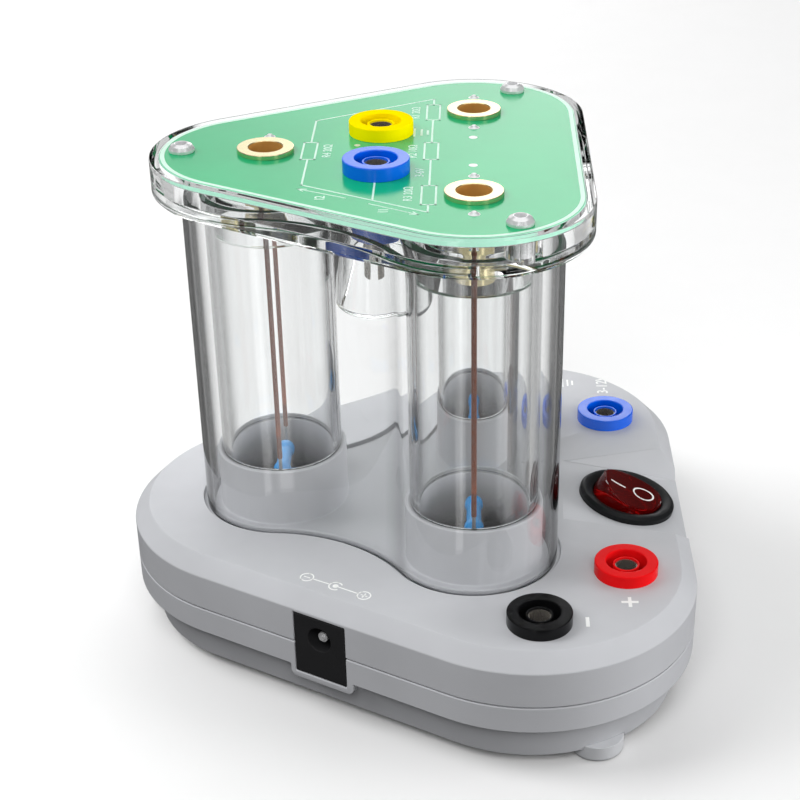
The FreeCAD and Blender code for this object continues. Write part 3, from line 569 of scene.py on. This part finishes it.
def three_lobed(lobe, arc_step=2.0):
    """Outline of the wall as (arc centre, radius, direction, side): side -1 on a hollow waist."""
    lobe_centre = point_at((0, 0), AXIS_DISTANCE, 60)
    waist = math.dist(lobe_centre, (WAIST_DISTANCE, 0)) - lobe
    outline = []
    for angle in DIRECTIONS:
        centre = point_at((CENTRE_X, 0), AXIS_DISTANCE, angle)
        waists = [point_at((CENTRE_X, 0), WAIST_DISTANCE, angle + side * 60) for side in (-1, 1)]
        start, end = (math.degrees(math.atan2(w[1] - centre[1], w[0] - centre[0])) for w in waists)
        end += 360 * math.ceil((start - end) / 360)
        outline += arc_run(centre, lobe, start, end, arc_step, 1)
        mouth = end + 180
        far = 2 * (angle + 60) - mouth + 360
        far -= 360 * math.ceil((far - mouth) / 360)
        outline += arc_run(waists[1], waist, mouth, far, arc_step, -1)
    return outline


def swept(name, outline, profile, material, smooth_angle=35.0):
    """Carries a closed profile of (inset, height) points round an outline."""
    work = bmesh.new()
    rings = []
    for inset, height in profile:
        ring = []
        for centre, radius, angle, side in outline:
            x, y = point_at(centre, radius - side * inset, angle)
            ring.append(work.verts.new((x * MM, y * MM, height * MM)))
        rings.append(ring)
    count = len(outline)
    for first, second in zip(rings, rings[1:] + rings[:1]):
        for step in range(count):
            following = (step + 1) % count
            work.faces.new((first[step], first[following], second[following], second[step]))
    return as_piece(name, mesh_from(work, name), material, smooth_angle)


wall_clear = clear_moulding("wall_clear_acrylic", 0.012, 28.0, 0.04, 0.89)
wall_outline = softened(
    [(0, WALL_BOTTOM), (0, TUBE_TOP), (WALL_THICKNESS, TUBE_TOP), (WALL_THICKNESS, WALL_BOTTOM)],
    [0.25, 0.25, 0.25, 0.25])
wall = swept("outer_wall", three_lobed(WALL_LOBE), wall_outline, wall_clear)
fitted(wall, "demonstrator", "clear_acrylic", "clear_wall")

# ==== Lid =========================================================================================
# A clear tray moulded in one with three hollow plugs, screw bosses and a deep pocket for the
# sockets. Its rims are polished round, and its level faces are too thin to bend the view.
LID_EDGE = 0.25
lid_clear = clear_moulding("lid_clear_acrylic", 0.008, 60.0, 1.0, 0.97)
lid = moulded_from("lid", "clear_lid", LID_EDGE, lid_clear, limit=25.0)
floor_clear = clear_moulding("lid_floor_clear", 0.004, 60.0, 1.0, 0.97, 1.02)
lid.data.materials.append(floor_clear)
for face in lid.data.polygons:
    face.material_index = int(abs(face.normal.z) > 0.95)
fitted(lid, "demonstrator", "clear_acrylic", "clear_lid")

# ==== Circuit board ===============================================================================
# A 1.6 mm glass-fibre board under a glossy green solder mask. It drops into the lid's tray, and
# its milled edge is left bare, paler than the mask.
BOARD_EDGE = 0.12
BOARD_GREEN = (0.006, 0.42, 0.16)
board_mask = surface("board_green_mask", BOARD_GREEN, 0.16, 1400.0, 0.002, 0.04, 0.05)
board = moulded_from("board", "circuit_board", BOARD_EDGE, board_mask, steps=2)
bare_edge = surface("board_bare_glass_fibre", (0.42, 0.80, 0.62), 0.5, 1400.0, 0.002)
board.data.materials.append(bare_edge)
for face in board.data.polygons:
    face.material_index = int(abs(face.normal.z) < 0.5)
fitted(board, "demonstrator", "board_green", "circuit_board")

# ==== Printing on the board =======================================================================
# Screen-printed white ink, raised a little over the mask: a border along the edge, the three
# resistors as a circuit, current arrows, values and the earth bars. Silver pads show between.
INK_HEIGHT = 0.035
INK_SINK = 0.01
BOARD_CORNER = 20.1
ink_pale = surface("ink_thin_over_mask", (0.60, 0.83, 0.71), 0.45, 1500.0, 0.004)


class Print:
    """Ink shapes gathered into one mesh, all lying on a level surface."""

    def __init__(self, level, height=INK_HEIGHT):
        self.work = bmesh.new()
        self.level = level
        self.height = height

    def slab(self, corners):
        low, high = (
            [self.work.verts.new((x * MM, y * MM, height * MM)) for x, y in corners]
            for height in (self.level - INK_SINK, self.level + self.height))
        self.work.faces.new(high)
        self.work.faces.new(low[::-1])
        count = len(corners)
        for index in range(count):
            following = (index + 1) % count
            self.work.faces.new((low[index], low[following], high[following], high[index]))

    def bar(self, start, end, width):
        start, end = Vector(start), Vector(end)
        along = (end - start).normalized() * width / 2
        across = Vector((-along.y, along.x))
        start, end = start - along, end + along
        self.slab([start + across, start - across, end - across, end + across])

    def path(self, points, width, closed=False):
        points = list(points)
        pairs = zip(points, points[1:] + (points[:1] if closed else []))
        for start, end in pairs:
            self.bar(start, end, width)

    def arc(self, centre, radius, width, start=0.0, end=360.0, steps=32):
        rims = []
        for step in range(steps + 1):
            angle = start + (end - start) * step / steps
            edges = (radius - width / 2, radius + width / 2)
            rims.append([point_at(centre, edge, angle) for edge in edges])
        for (inner, outer), (next_inner, next_outer) in zip(rims, rims[1:]):
            self.slab([inner, outer, next_outer, next_inner])

    def dot(self, centre, radius, steps=24):
        self.slab([point_at(centre, radius, 360 * step / steps) for step in range(steps)])

    def plus(self, centre, reach, half):
        corners = []
        for turn in (0, 90, 180, 270):
            swing = Matrix.Rotation(math.radians(turn), 2)
            for corner in ((half, half), (reach, half), (reach, -half)):
                corners.append(Vector(centre) + swing @ Vector(corner))
        self.slab(sorted(corners, key=lambda c: math.atan2(c.y - centre[1], c.x - centre[0])))

    def arrow(self, start, end, width, head=1.5):
        self.bar(start, end, width)
        tip = Vector(end)
        back = (Vector(start) - tip).normalized()
        for swing in (-24, 24):
            barb = Matrix.Rotation(math.radians(swing), 2) @ back
            self.bar(tip, tip + barb * head, width)

    def words(self, text, centre, size, turn):
        """Plain lettering, drawn as a curve, made a mesh and then laid in place."""
        letters = bpy.data.curves.new("letters", "FONT")
        letters.body = text
        letters.size = size * MM
        letters.align_x = "CENTER"
        letters.align_y = "CENTER"
        letters.extrude = (self.height + INK_SINK) * MM / 2
        letters.offset = 0.012 * size * MM
        holder = bpy.data.objects.new("letters", letters)
        bpy.context.scene.collection.objects.link(holder)
        mesh = result_mesh(holder)
        bpy.data.objects.remove(holder)
        middle = self.level + (self.height - INK_SINK) / 2
        place = Matrix.Translation(Vector((centre[0], centre[1], middle)) * MM)
        mesh.transform(place @ Matrix.Rotation(math.radians(turn), 4, "Z"))
        self.work.from_mesh(mesh)
        bpy.data.meshes.remove(mesh)

    def piece(self, name, material):
        bmesh.ops.remove_doubles(self.work, verts=self.work.verts, dist=0.0005 * MM)
        return as_piece(name, mesh_from(self.work, name), material, 20.0)


def rounded_triangle(radius, arc_step=2.5):
    """Outline of the lid and board: three corners of one radius joined by straight sides."""
    outline = []
    for angle in DIRECTIONS:
        centre = point_at((CENTRE_X, 0), AXIS_DISTANCE, angle)
        outline += arc_run(centre, radius, angle - 60, angle + 60, arc_step, 1)
        outline.append((centre, radius, angle + 60, 1))
    return outline


BORDER_OUTER = 0.15
BORDER_INNER = 0.98
border = swept("board_border", rounded_triangle(BOARD_CORNER), [
    (BORDER_OUTER, LID_TOP - INK_SINK), (BORDER_INNER, LID_TOP - INK_SINK),
    (BORDER_INNER, LID_TOP + INK_HEIGHT), (BORDER_OUTER, LID_TOP + INK_HEIGHT)], ink_pale, 20.0)
fitted(border, "demonstrator", "board_green")

TRACK = 0.36
FINE_LINE = 0.26
BAR_WIDTH = 0.42
SYMBOL_HALF_WIDTH = 1.3
SYMBOL_HALF_LENGTH = 4.7
VALUE_SIZE = 2.3
CURRENT_SIZE = 2.6
LEFT_LINE = -17.7
RIGHT_LINE = 5.55
SOCKET_LINE = -4.45
TRACKS = (
    ((LEFT_LINE, 5.0), (LEFT_LINE, 17.6), (RIGHT_LINE, 31.2), (RIGHT_LINE, 27.5)),
    ((LEFT_LINE, -5.0), (LEFT_LINE, -18.2), (RIGHT_LINE, -31.5), (RIGHT_LINE, -28.0)),
    ((RIGHT_LINE, 17.9), (RIGHT_LINE, 4.7)),
    ((RIGHT_LINE, -4.7), (RIGHT_LINE, -18.4)),
    ((SOCKET_LINE, -25.5), (SOCKET_LINE, -17.2)),
)
SYMBOLS = ((LEFT_LINE, 0.0), (RIGHT_LINE, 22.8), (RIGHT_LINE, 0.0), (RIGHT_LINE, -23.2))
EARTH_BARS = ((2.05, 2.2), (3.45, 1.65), (4.65, 1.05))
EARTH_LINE = 10.6
ARROWS = (((-9.35, -24.7), (-18.2, -20.15)), ((-4.95, -27.5), (3.9, -32.6)))
BOARD_WORDS = (
    ("I2", (-13.84, -24.6), CURRENT_SIZE),
    ("I1", (-2.2, -30.73), CURRENT_SIZE),
    ("R4 20Ω", (-14.2, 0.0), VALUE_SIZE),
    ("R1 20Ω", (2.1, 22.5), VALUE_SIZE),
    ("R3 20Ω", (1.9, -22.6), VALUE_SIZE),
    ("R2 10Ω", (2.1, -0.26), VALUE_SIZE),
    ("3-6V", (3.7, -11.8), VALUE_SIZE),
)
circuit = Print(LID_TOP)
for track in TRACKS:
    circuit.path(track, TRACK)
for x, y in SYMBOLS:
    left, right = x - SYMBOL_HALF_WIDTH, x + SYMBOL_HALF_WIDTH
    low, high = y - SYMBOL_HALF_LENGTH, y + SYMBOL_HALF_LENGTH
    circuit.path([(left, low), (right, low), (right, high), (left, high)], TRACK, closed=True)
for x, half in EARTH_BARS:
    circuit.bar((x, EARTH_LINE - half), (x, EARTH_LINE + half), BAR_WIDTH)
for start, end in ARROWS:
    circuit.arrow(start, end, FINE_LINE)
for text, place, size in BOARD_WORDS:
    circuit.words(text, place, size, 90)
circuit_print = circuit.piece("board_print", ink_pale)
fitted(circuit_print, "demonstrator", "board_green")

PAD_RADIUS = 1.1
PAD_HEIGHT = 0.02
SPARE_PADS = (((13.55, 7.8), 0.85), ((13.55, -7.8), 0.85), ((-8.75, 3.2), 0.6))
tinned = surface("lead_tinned", (0.74, 0.75, 0.76), 0.38, 700.0, 0.001, metal=0.45)
pads = Print(LID_TOP, PAD_HEIGHT)
pad_places = [
    (x, y + offset)
    for letter, (x, y) in zip("abc", CHAMBER_AXES) for offset in PAD_OFFSETS[letter]]
for place in pad_places:
    pads.dot(place, PAD_RADIUS)
for place, radius in SPARE_PADS:
    pads.dot(place, radius)
board_pads = pads.piece("board_pads", tinned)
fitted(board_pads, "demonstrator", "lead_tin")

# ==== Solder joints ===============================================================================
# Each heater wire ends in a small bright cone of solder, hollow-sided where it has drawn up the
# wire and cooled.
joint_outline = [
    (0, 0.0), (1.0, 0.0), (0.78, 0.1), (0.62, 0.24), (0.53, 0.4), (0.46, 0.48), (0.3, 0.52),
    (0, 0.54)]
joint_pattern = turned("joint_pattern", joint_outline, tinned, steps=28, smooth_angle=60.0)
joint_places = [(*place, LID_TOP) for place in pad_places]
solder = copied("solder_cones", joint_pattern, joint_places)
fitted(solder, "demonstrator", "lead_tin", "solder_joints")

# ==== Ferrules ====================================================================================
# Three turned and polished brass bushes, one over each chamber, pressed through the board and the
# lid's floor up to their flange. The tool leaves a bright chamfer in the bore.
FERRULE_BOTTOM = 86.9
FERRULE_BORE = 3.25
FERRULE_BARREL = 3.75
FERRULE_FLANGE = 5.45
FERRULE_TOP = LID_TOP + 0.92
BRASS = (0.82, 0.72, 0.43)
BORE_BRASS = (0.62, 0.34, 0.09)
brass = surface("ferrule_turned_brass", BRASS, 0.20, 900.0, 0.0008, 0.05, metal=0.9)
bore_brass = surface("ferrule_bore_brass", BORE_BRASS, 0.34, 900.0, 0.004, 0.05, metal=0.35)
ferrule_outline = softened(
    [(FERRULE_BORE, FERRULE_BOTTOM), (FERRULE_BARREL, FERRULE_BOTTOM), (FERRULE_BARREL, LID_TOP),
     (FERRULE_FLANGE, LID_TOP), (FERRULE_FLANGE, FERRULE_TOP), (FERRULE_BORE + 0.15, FERRULE_TOP),
     (FERRULE_BORE, FERRULE_TOP - 0.15)],
    [0.1, 0.1, 0, 0.1, 0.14, 0.04, 0.04])
for letter, axis in zip("abc", CHAMBER_AXES):
    ferrule = turned("bush_" + letter, ferrule_outline, brass, axis, steps=96, smooth_angle=40.0)
    ferrule.data.materials.append(bore_brass)
    for face in ferrule.data.polygons:
        face.material_index = int(math.dist(face.center.xy / MM, axis) < FERRULE_BORE + 0.02)
    fitted(ferrule, "demonstrator", "ferrule_brass", "ferrule_" + letter)

# ==== Lid screws ==================================================================================
# Three button-head screws of bright plated steel, each with a hexagon socket, go through the board
# into the bosses of the lid and clamp the two together.
SCREW_DISTANCE = 42.5
screw_outline = softened(
    [(0, -5.4), (1.45, -5.4), (1.45, 0), (2.5, 0), (2.5, 0.55), (2.05, 1.25), (1.3, 1.6),
     (1.1, 1.55), (1.02, 0.6), (0, 0.6)],
    [0, 0.3, 0, 0.1, 0.2, 0.4, 0.12, 0.05, 0.02, 0], steps=3)
screw_pattern = turned("screw_pattern", screw_outline, screw_steel, steps=48)
screw_places = [(*point_at((CENTRE_X, 0), SCREW_DISTANCE, angle), LID_TOP) for angle in DIRECTIONS]
lid_screws = copied("button_screws", screw_pattern, screw_places)
fitted(lid_screws, "demonstrator", "screw_steel", "lid_screws")

# ==== Laboratory sockets ==========================================================================
# Five 4 mm sockets: a glossy coloured moulding with a wide flange and a ring groove for the
# plug's shroud, round a thin sleeve and a nickel-plated bush. Nuts hold them from below.
nickel = surface("contact_nickel", (0.42, 0.39, 0.35), 0.26, 900.0, 0.001, metal=0.8)
BASE_TOP = 27.5
SOCKET_BLUE = (0.0, 0.11, 0.72)
SOCKET_SLEEVE = 2.23
SLEEVE_OUTER = 2.65
GROOVE_OUTER = 4.0
SOCKET_BARREL = 4.8
SOCKET_FLANGE = 6.3
FLANGE_HEIGHT = 2.6
SLEEVE_HEIGHT = 1.9
GROOVE_DEPTH = 8.9
SOCKET_LENGTH = 13.0
SOCKETS = (
    ("yellow", (0.93, 0.74, 0.0), 0.0, (-4.45, 10.7), LID_TOP),
    ("lid_blue", SOCKET_BLUE, 0.85, (-4.45, -10.7), LID_TOP),
    ("red", (0.76, 0.006, 0.008), 0.06, (43.6613, -31.9993), BASE_TOP),
    ("black", (0.004, 0.004, 0.0045), 0.18, (26.0438, -49.5714), BASE_TOP),
    ("base_blue", SOCKET_BLUE, 0.85, (43.6613, 31.9993), BASE_TOP),
)
for colour, tint, gloss, place, panel in SOCKETS:
    plastic = surface("socket_plastic_" + colour, tint, 0.22, 1500.0, 0.002, 0.03, gloss=gloss)
    bottom = panel - SOCKET_LENGTH
    groove = panel - GROOVE_DEPTH
    rim = panel + FLANGE_HEIGHT
    outline = softened(
        [(SOCKET_SLEEVE, bottom), (SOCKET_BARREL, bottom), (SOCKET_BARREL, panel),
         (SOCKET_FLANGE, panel), (SOCKET_FLANGE, rim), (GROOVE_OUTER, rim), (GROOVE_OUTER, groove),
         (SLEEVE_OUTER, groove), (SLEEVE_OUTER, panel + SLEEVE_HEIGHT),
         (SOCKET_SLEEVE, panel + SLEEVE_HEIGHT)],
        [0.1, 0.3, 0, 0.1, 0.22, 0.22, 0.2, 0.2, 0.12, 0.12])
    name = "socket_body_" + colour
    insulator = turned(name, outline, plastic, place, steps=96, smooth_angle=40.0)
    fitted(insulator, "demonstrator", "plastic_" + colour.split("_")[-1], "socket_" + colour)
    finished(nickel, "contact_" + colour)
finished(nickel, "socket_nuts")

# ==== Printing on the case ========================================================================
# White ink again, full on the grey top: signs for the two supply sockets, bars by the blue one, and
# the plug's polarity drawing along the inlet side.
PLUS_SIGN = ((43.65, -42.7), 1.65, 0.34)
MINUS_SIGN = ((35.15, -50.6), (35.15, -48.2), 0.72)
SUPPLY_BARS = ((34.75, 1.9), (35.95, 1.4), (37.05, 0.9))
SUPPLY_LINE = 49.8
SUPPLY_BAR_WIDTH = 0.4
RANGE_SIZE = 3.6
POLARITY = (Vector((-19.05, -34.0)), Vector((-13.25, -37.2)), Vector((-7.55, -40.5)))
POLARITY_RADIUS = 1.3
POLARITY_LINE = 0.28
PIN_LINE = 0.3
SIGN_LINE = 0.25
SIGN_HALF = 0.6
PIN_GAP = 40
RING_EDGE = 1.4
PIN_EDGE = 1.45
DOT_EDGE = 0.7
ink_white = surface("ink_white", (0.86, 0.87, 0.86), 0.45, 1500.0, 0.004)
marks = Print(BASE_TOP)
marks.plus(*PLUS_SIGN)
marks.bar(*MINUS_SIGN)
for x, half in SUPPLY_BARS:
    marks.bar((x, SUPPLY_LINE - half), (x, SUPPLY_LINE + half), SUPPLY_BAR_WIDTH)
marks.words("3-12V", (44.1, 48.7), RANGE_SIZE, 90)
sleeve, pin, tip = POLARITY
along = (tip - sleeve).normalized()
across = Vector((-along.y, along.x))
heading = math.degrees(math.atan2(along.y, along.x))
marks.arc(pin, POLARITY_RADIUS, PIN_LINE, heading + PIN_GAP, heading + 360 - PIN_GAP)
marks.dot(pin, SIGN_HALF)
for centre in (sleeve, tip):
    marks.arc(centre, POLARITY_RADIUS, POLARITY_LINE)
    marks.bar(centre - along * SIGN_HALF, centre + along * SIGN_HALF, SIGN_LINE)
marks.bar(tip - across * SIGN_HALF, tip + across * SIGN_HALF, SIGN_LINE)
marks.bar(sleeve + along * RING_EDGE, pin - along * PIN_EDGE, POLARITY_LINE)
marks.bar(pin + along * DOT_EDGE, tip - along * RING_EDGE, POLARITY_LINE)
case_print = marks.piece("case_print", ink_white)
fitted(case_print, "demonstrator", "case_grey")

# ==== Rocker switch ===============================================================================
# A round rocker snapped into its sloping pocket: a satin black bezel and barrel, and a
# see-through deep red rocker on two pins, with I and O inlaid in white.
BEZEL_EDGE = 0.12
LENS_EDGE = 0.35
BEZEL_BLACK = (0.008, 0.0085, 0.009)
LENS_RED = (0.40, 0.002, 0.002)
bezel_plastic = surface("rocker_satin_black", BEZEL_BLACK, 0.42, 2200.0, 0.003, gloss=0.15)
bezel = moulded_from("rocker_bezel", "rocker_housing", BEZEL_EDGE, bezel_plastic)
fitted(bezel, "demonstrator", "rocker_black", "rocker_housing")
finished(nickel, "rocker_blades")

red_lens = surface("rocker_clear_red", LENS_RED, 0.06, 900.0, 0.0005, 0.02)
shader_of(red_lens).inputs["Transmission Weight"].default_value = 0.88
shader_of(red_lens).inputs["IOR"].default_value = 1.22
rocker = moulded_from("rocker_lens", "rocker_button", LENS_EDGE, red_lens)
fitted(rocker, "rocker", "rocker_red", "rocker_button")

DISH_RADIUS = 26.0
DISH_FLOOR = 2.36
MARK_HEIGHT = 0.05
REST_TILT = 14.0
POCKET_SLOPE = 11.3
ROCKER_X = 46.2
POCKET_FLOOR = BASE_TOP - (ROCKER_X - 33.45) * math.tan(math.radians(POCKET_SLOPE))
PIVOT_LIFT = 0.2
BAR_START = -5.07
BAR_END = -1.44
BAR_HALF = 0.19
BAR_STEPS = 8
RING_CENTRE = (2.78, 0)
RING_RADIUS = 2.21
RING_LINE = 0.36
signs = Print(0.0, MARK_HEIGHT)
for step in range(BAR_STEPS):
    low = BAR_START + (BAR_END - BAR_START) * step / BAR_STEPS
    high = BAR_START + (BAR_END - BAR_START) * (step + 1) / BAR_STEPS
    signs.slab([(low, -BAR_HALF), (high, -BAR_HALF), (high, BAR_HALF), (low, BAR_HALF)])
signs.arc(RING_CENTRE, RING_RADIUS, RING_LINE, steps=64)
rocker_signs = signs.piece("rocker_marks", ink_white)
for vertex in rocker_signs.data.vertices:
    x = vertex.co.x / MM
    vertex.co.z += (DISH_FLOOR + DISH_RADIUS - math.sqrt(DISH_RADIUS ** 2 - x ** 2)) * MM
rest = Matrix.Translation(Vector((ROCKER_X, 0, POCKET_FLOOR)) * MM)
rest = rest @ Matrix.Rotation(math.radians(POCKET_SLOPE), 4, "Y")
rest = rest @ Matrix.Translation(Vector((0, 0, PIVOT_LIFT)) * MM)
rest = rest @ Matrix.Rotation(math.radians(REST_TILT), 4, "Y")
rocker_signs.data.transform(rest)
fitted(rocker_signs, "rocker", "rocker_red")

# ==== Supply inlet ================================================================================
# A square matt black inlet for a barrel plug, set flush in its cut-out, with a bright pin deep in
# the round hole.
INLET_EDGE = 0.2
INLET_BLACK = (0.016, 0.016, 0.017)
inlet_plastic = surface("inlet_matt_black", INLET_BLACK, 0.50, 1800.0, 0.008, gloss=0.2)
inlet = moulded_from("inlet", "inlet_housing", INLET_EDGE, inlet_plastic)
fitted(inlet, "demonstrator", "inlet_black", "inlet_housing")
finished(nickel, "inlet_blades")
finished(screw_steel, "inlet_pin")

# ==== Studio ======================================================================================
# A pale floor, melting into white air all round, under wide soft lamps. Clear walls bend the view
# sideways into greyer air, which draws their edges; glossy faces mirror a low bank of lamps behind.
HALF_FLOOR = 1.0
FLOOR_DROP = 0.0002
FLOOR_FADE = (0.55, 0.95)
FLOOR_WHITE = (0.86, 0.86, 0.86)
floor_paint = surface("studio_floor", FLOOR_WHITE, 0.6, 40.0, 0.0, 0.05, 0.005)
floor_tree = floor_paint.node_tree
floor_place = floor_tree.nodes.new("ShaderNodeTexCoord")
floor_reach = floor_tree.nodes.new("ShaderNodeVectorMath")
floor_reach.operation = "LENGTH"
floor_end = floor_tree.nodes.new("ShaderNodeBsdfTransparent")
floor_blend = floor_tree.nodes.new("ShaderNodeMixShader")
link_nodes(floor_tree, [(floor_place.outputs["Object"], floor_reach.inputs[0])])
fade = remap(floor_tree, floor_reach.outputs["Value"], 0.0, 1.0, *FLOOR_FADE)
link_nodes(floor_tree, [
    (fade, floor_blend.inputs[0]),
    (shader_of(floor_paint).outputs["BSDF"], floor_blend.inputs[1]),
    (floor_end.outputs["BSDF"], floor_blend.inputs[2]),
    (floor_blend.outputs["Shader"], floor_tree.nodes["Material Output"].inputs["Surface"]),
])
floor_mesh = bpy.data.meshes.new("studio_floor")
floor_corners = [(x * HALF_FLOOR, y * HALF_FLOOR, -FLOOR_DROP)
                 for x, y in ((-1, -1), (1, -1), (1, 1), (-1, 1))]
floor_mesh.from_pydata(floor_corners, [], [(0, 1, 2, 3)])
floor = as_piece("studio_floor", floor_mesh, floor_paint)
floor.visible_diffuse = False
floor.visible_glossy = False
floor.visible_transmission = False
floor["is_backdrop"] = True

# Each lamp: name, place, width, height and power. All of these face the middle of the object.
MIDDLE = Vector((0.0, 0.0, 0.05))
LAMPS = (
    ("back_high", (0.0, 0.8, 0.85), 0.8, 0.5, 2.4),
    ("right_high", (0.8, 0.0, 0.85), 0.5, 0.8, 1.2),
    ("left_high", (-0.8, 0.0, 0.85), 0.5, 0.8, 7.5),
    ("front_high", (0.0, -0.8, 0.85), 0.8, 0.5, 7.0),
    ("right_low", (1.0, -0.1, 0.18), 0.6, 0.3, 7.8),
    ("front_low", (0.1, -1.0, 0.3), 0.8, 0.4, 1.5),
    ("back_left", (-0.8, 0.7, 0.5), 0.6, 0.5, 2.8),
    ("back_low", (-0.25, 1.0, 0.3), 0.6, 0.3, 2.4),
)


def lamp(name, place, width, height, power, turn):
    """Soft rectangular lamp; its own shape shows in no mirror or lens."""
    light = bpy.data.lights.new("lamp_" + name, "AREA")
    light.shape = "RECTANGLE"
    light.size = width
    light.size_y = height
    light.energy = power
    holder = bpy.data.objects.new("lamp_" + name, light)
    holder.location = place
    holder.rotation_euler = turn
    holder.visible_glossy = False
    holder.visible_transmission = False
    bpy.context.scene.collection.objects.link(holder)
    return holder


for name, place, width, height, power in LAMPS:
    facing_middle = (MIDDLE - Vector(place)).to_track_quat("-Z", "Y").to_euler()
    lamp(name, place, width, height, power, facing_middle)

# Light that the pale case throws up under the lid, and that the white air throws in from behind.
INNER_LAMPS = (
    ("bounce", (0.0, 0.0, 0.045), 0.085, 0.085, 0.05, (math.pi, 0.0, 0.0)),
    ("under_lid", (-0.016, 0.032, 0.085), 0.06, 0.06, 0.03, (0.0, 0.0, 0.0)),
)
for lamp_values in INNER_LAMPS:
    lamp(*lamp_values).visible_camera = False

scene = bpy.context.scene
world = bpy.data.worlds.new("studio_air")
scene.world = world
world.use_nodes = True
world.cycles.sampling_method = "NONE"
air = world.node_tree


def reckon(operation, first, second=None):
    """Arithmetic on two values, each a number or another node's output."""
    step = air.nodes.new("ShaderNodeMath")
    step.operation = operation
    for socket, value in zip(step.inputs, (first, second)):
        if isinstance(value, float):
            socket.default_value = value
        elif value is not None:
            air.links.new(value, socket)
    return step.outputs[0]


def ease(value, start, end, low, high):
    return remap(air, value, low, high, start, end, "SMOOTHSTEP")


BEHIND = (0.80, 0.95)
toward = air.nodes.new("ShaderNodeTexCoord")
split = air.nodes.new("ShaderNodeSeparateXYZ")
air.links.new(toward.outputs["Generated"], split.inputs["Vector"])
ray = air.nodes.new("ShaderNodeLightPath")
height = split.outputs["Z"]
squares = [reckon("POWER", split.outputs[axis], 2.0) for axis in "XY"]
level_length = reckon("MAXIMUM", reckon("SQRT", reckon("ADD", *squares)), 0.001)
sideways = reckon("DIVIDE", split.outputs["X"], level_length)
backward = reckon("DIVIDE", split.outputs["Y"], level_length)
behind = ease(backward, *BEHIND, 0.0, 1.0)

# What glossy faces mirror: a low bank of lamps behind, one overhead, and two strips in front.
# Each row shapes the bank along one direction: where it changes, from what, to what.
BANK_SHAPE = (
    (height, -0.15, 0.0, 0.0, 1.0),
    (height, 0.38, 0.44, 1.0, 1.7),
    (height, 0.48, 0.53, 2.0, 0.0),
    (sideways, -0.22, 0.06, 0.4, 1.0),
    (sideways, 0.17, 0.27, 1.0, 0.0),
)
OVERHEAD = (0.70, 0.80, 0.0, 1.1)
STRIPS = ((-0.34, 1.3), (0.74, 1.0))
STRIP_EDGE = (0.05, 0.11)
STUDIO_GREY = 0.07
AMBIENT = 0.03
mirrored = behind
for direction, start, end, low, high in BANK_SHAPE:
    mirrored = reckon("MULTIPLY", mirrored, ease(direction, start, end, low, high))
mirrored = reckon("ADD", mirrored, ease(height, *OVERHEAD))
mirrored = reckon("ADD", mirrored, STUDIO_GREY)
in_front = reckon("LESS_THAN", backward, 0.0)
for place, strength in STRIPS:
    near = reckon("ABSOLUTE", reckon("SUBTRACT", sideways, place))
    strip = reckon("MULTIPLY", ease(near, *STRIP_EDGE, strength, 0.0), in_front)
    mirrored = reckon("ADD", mirrored, strip)

# What clear walls bend into view: white air behind, greyer air to the sides.
SIDE_AIR = 0.50
BACK_AIR = 0.47
bent_view = reckon("ADD", reckon("MULTIPLY", behind, BACK_AIR), SIDE_AIR)
glow = reckon("ADD", reckon("MULTIPLY", mirrored, ray.outputs["Is Glossy Ray"]), AMBIENT)
glow = reckon("ADD", glow, reckon("MULTIPLY", bent_view, ray.outputs["Is Transmission Ray"]))
glow = reckon("MAXIMUM", glow, ray.outputs["Is Camera Ray"])
air.links.new(glow, air.nodes["Background"].inputs["Strength"])
air.nodes["Background"].inputs["Color"].default_value = (1.0, 1.0, 1.0, 1.0)

CAMERA_PLACE = (0.01335, -0.3210, 0.2162)
CAMERA_TILT = 58.86
lens = bpy.data.cameras.new("camera")
lens.lens = 78.7
lens.sensor_width = 36.0
lens.shift_x = -0.0902
lens.shift_y = 0.138
lens.clip_start = 0.01
camera = bpy.data.objects.new("camera", lens)
camera.location = CAMERA_PLACE
camera.rotation_euler = (math.radians(CAMERA_TILT), 0.0, 0.0)
scene.collection.objects.link(camera)
scene.camera = camera
scene.view_settings.view_transform = "Standard"

size = {"cad": [list(corner) for corner in cad_box], "visual": [list(c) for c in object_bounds()]}
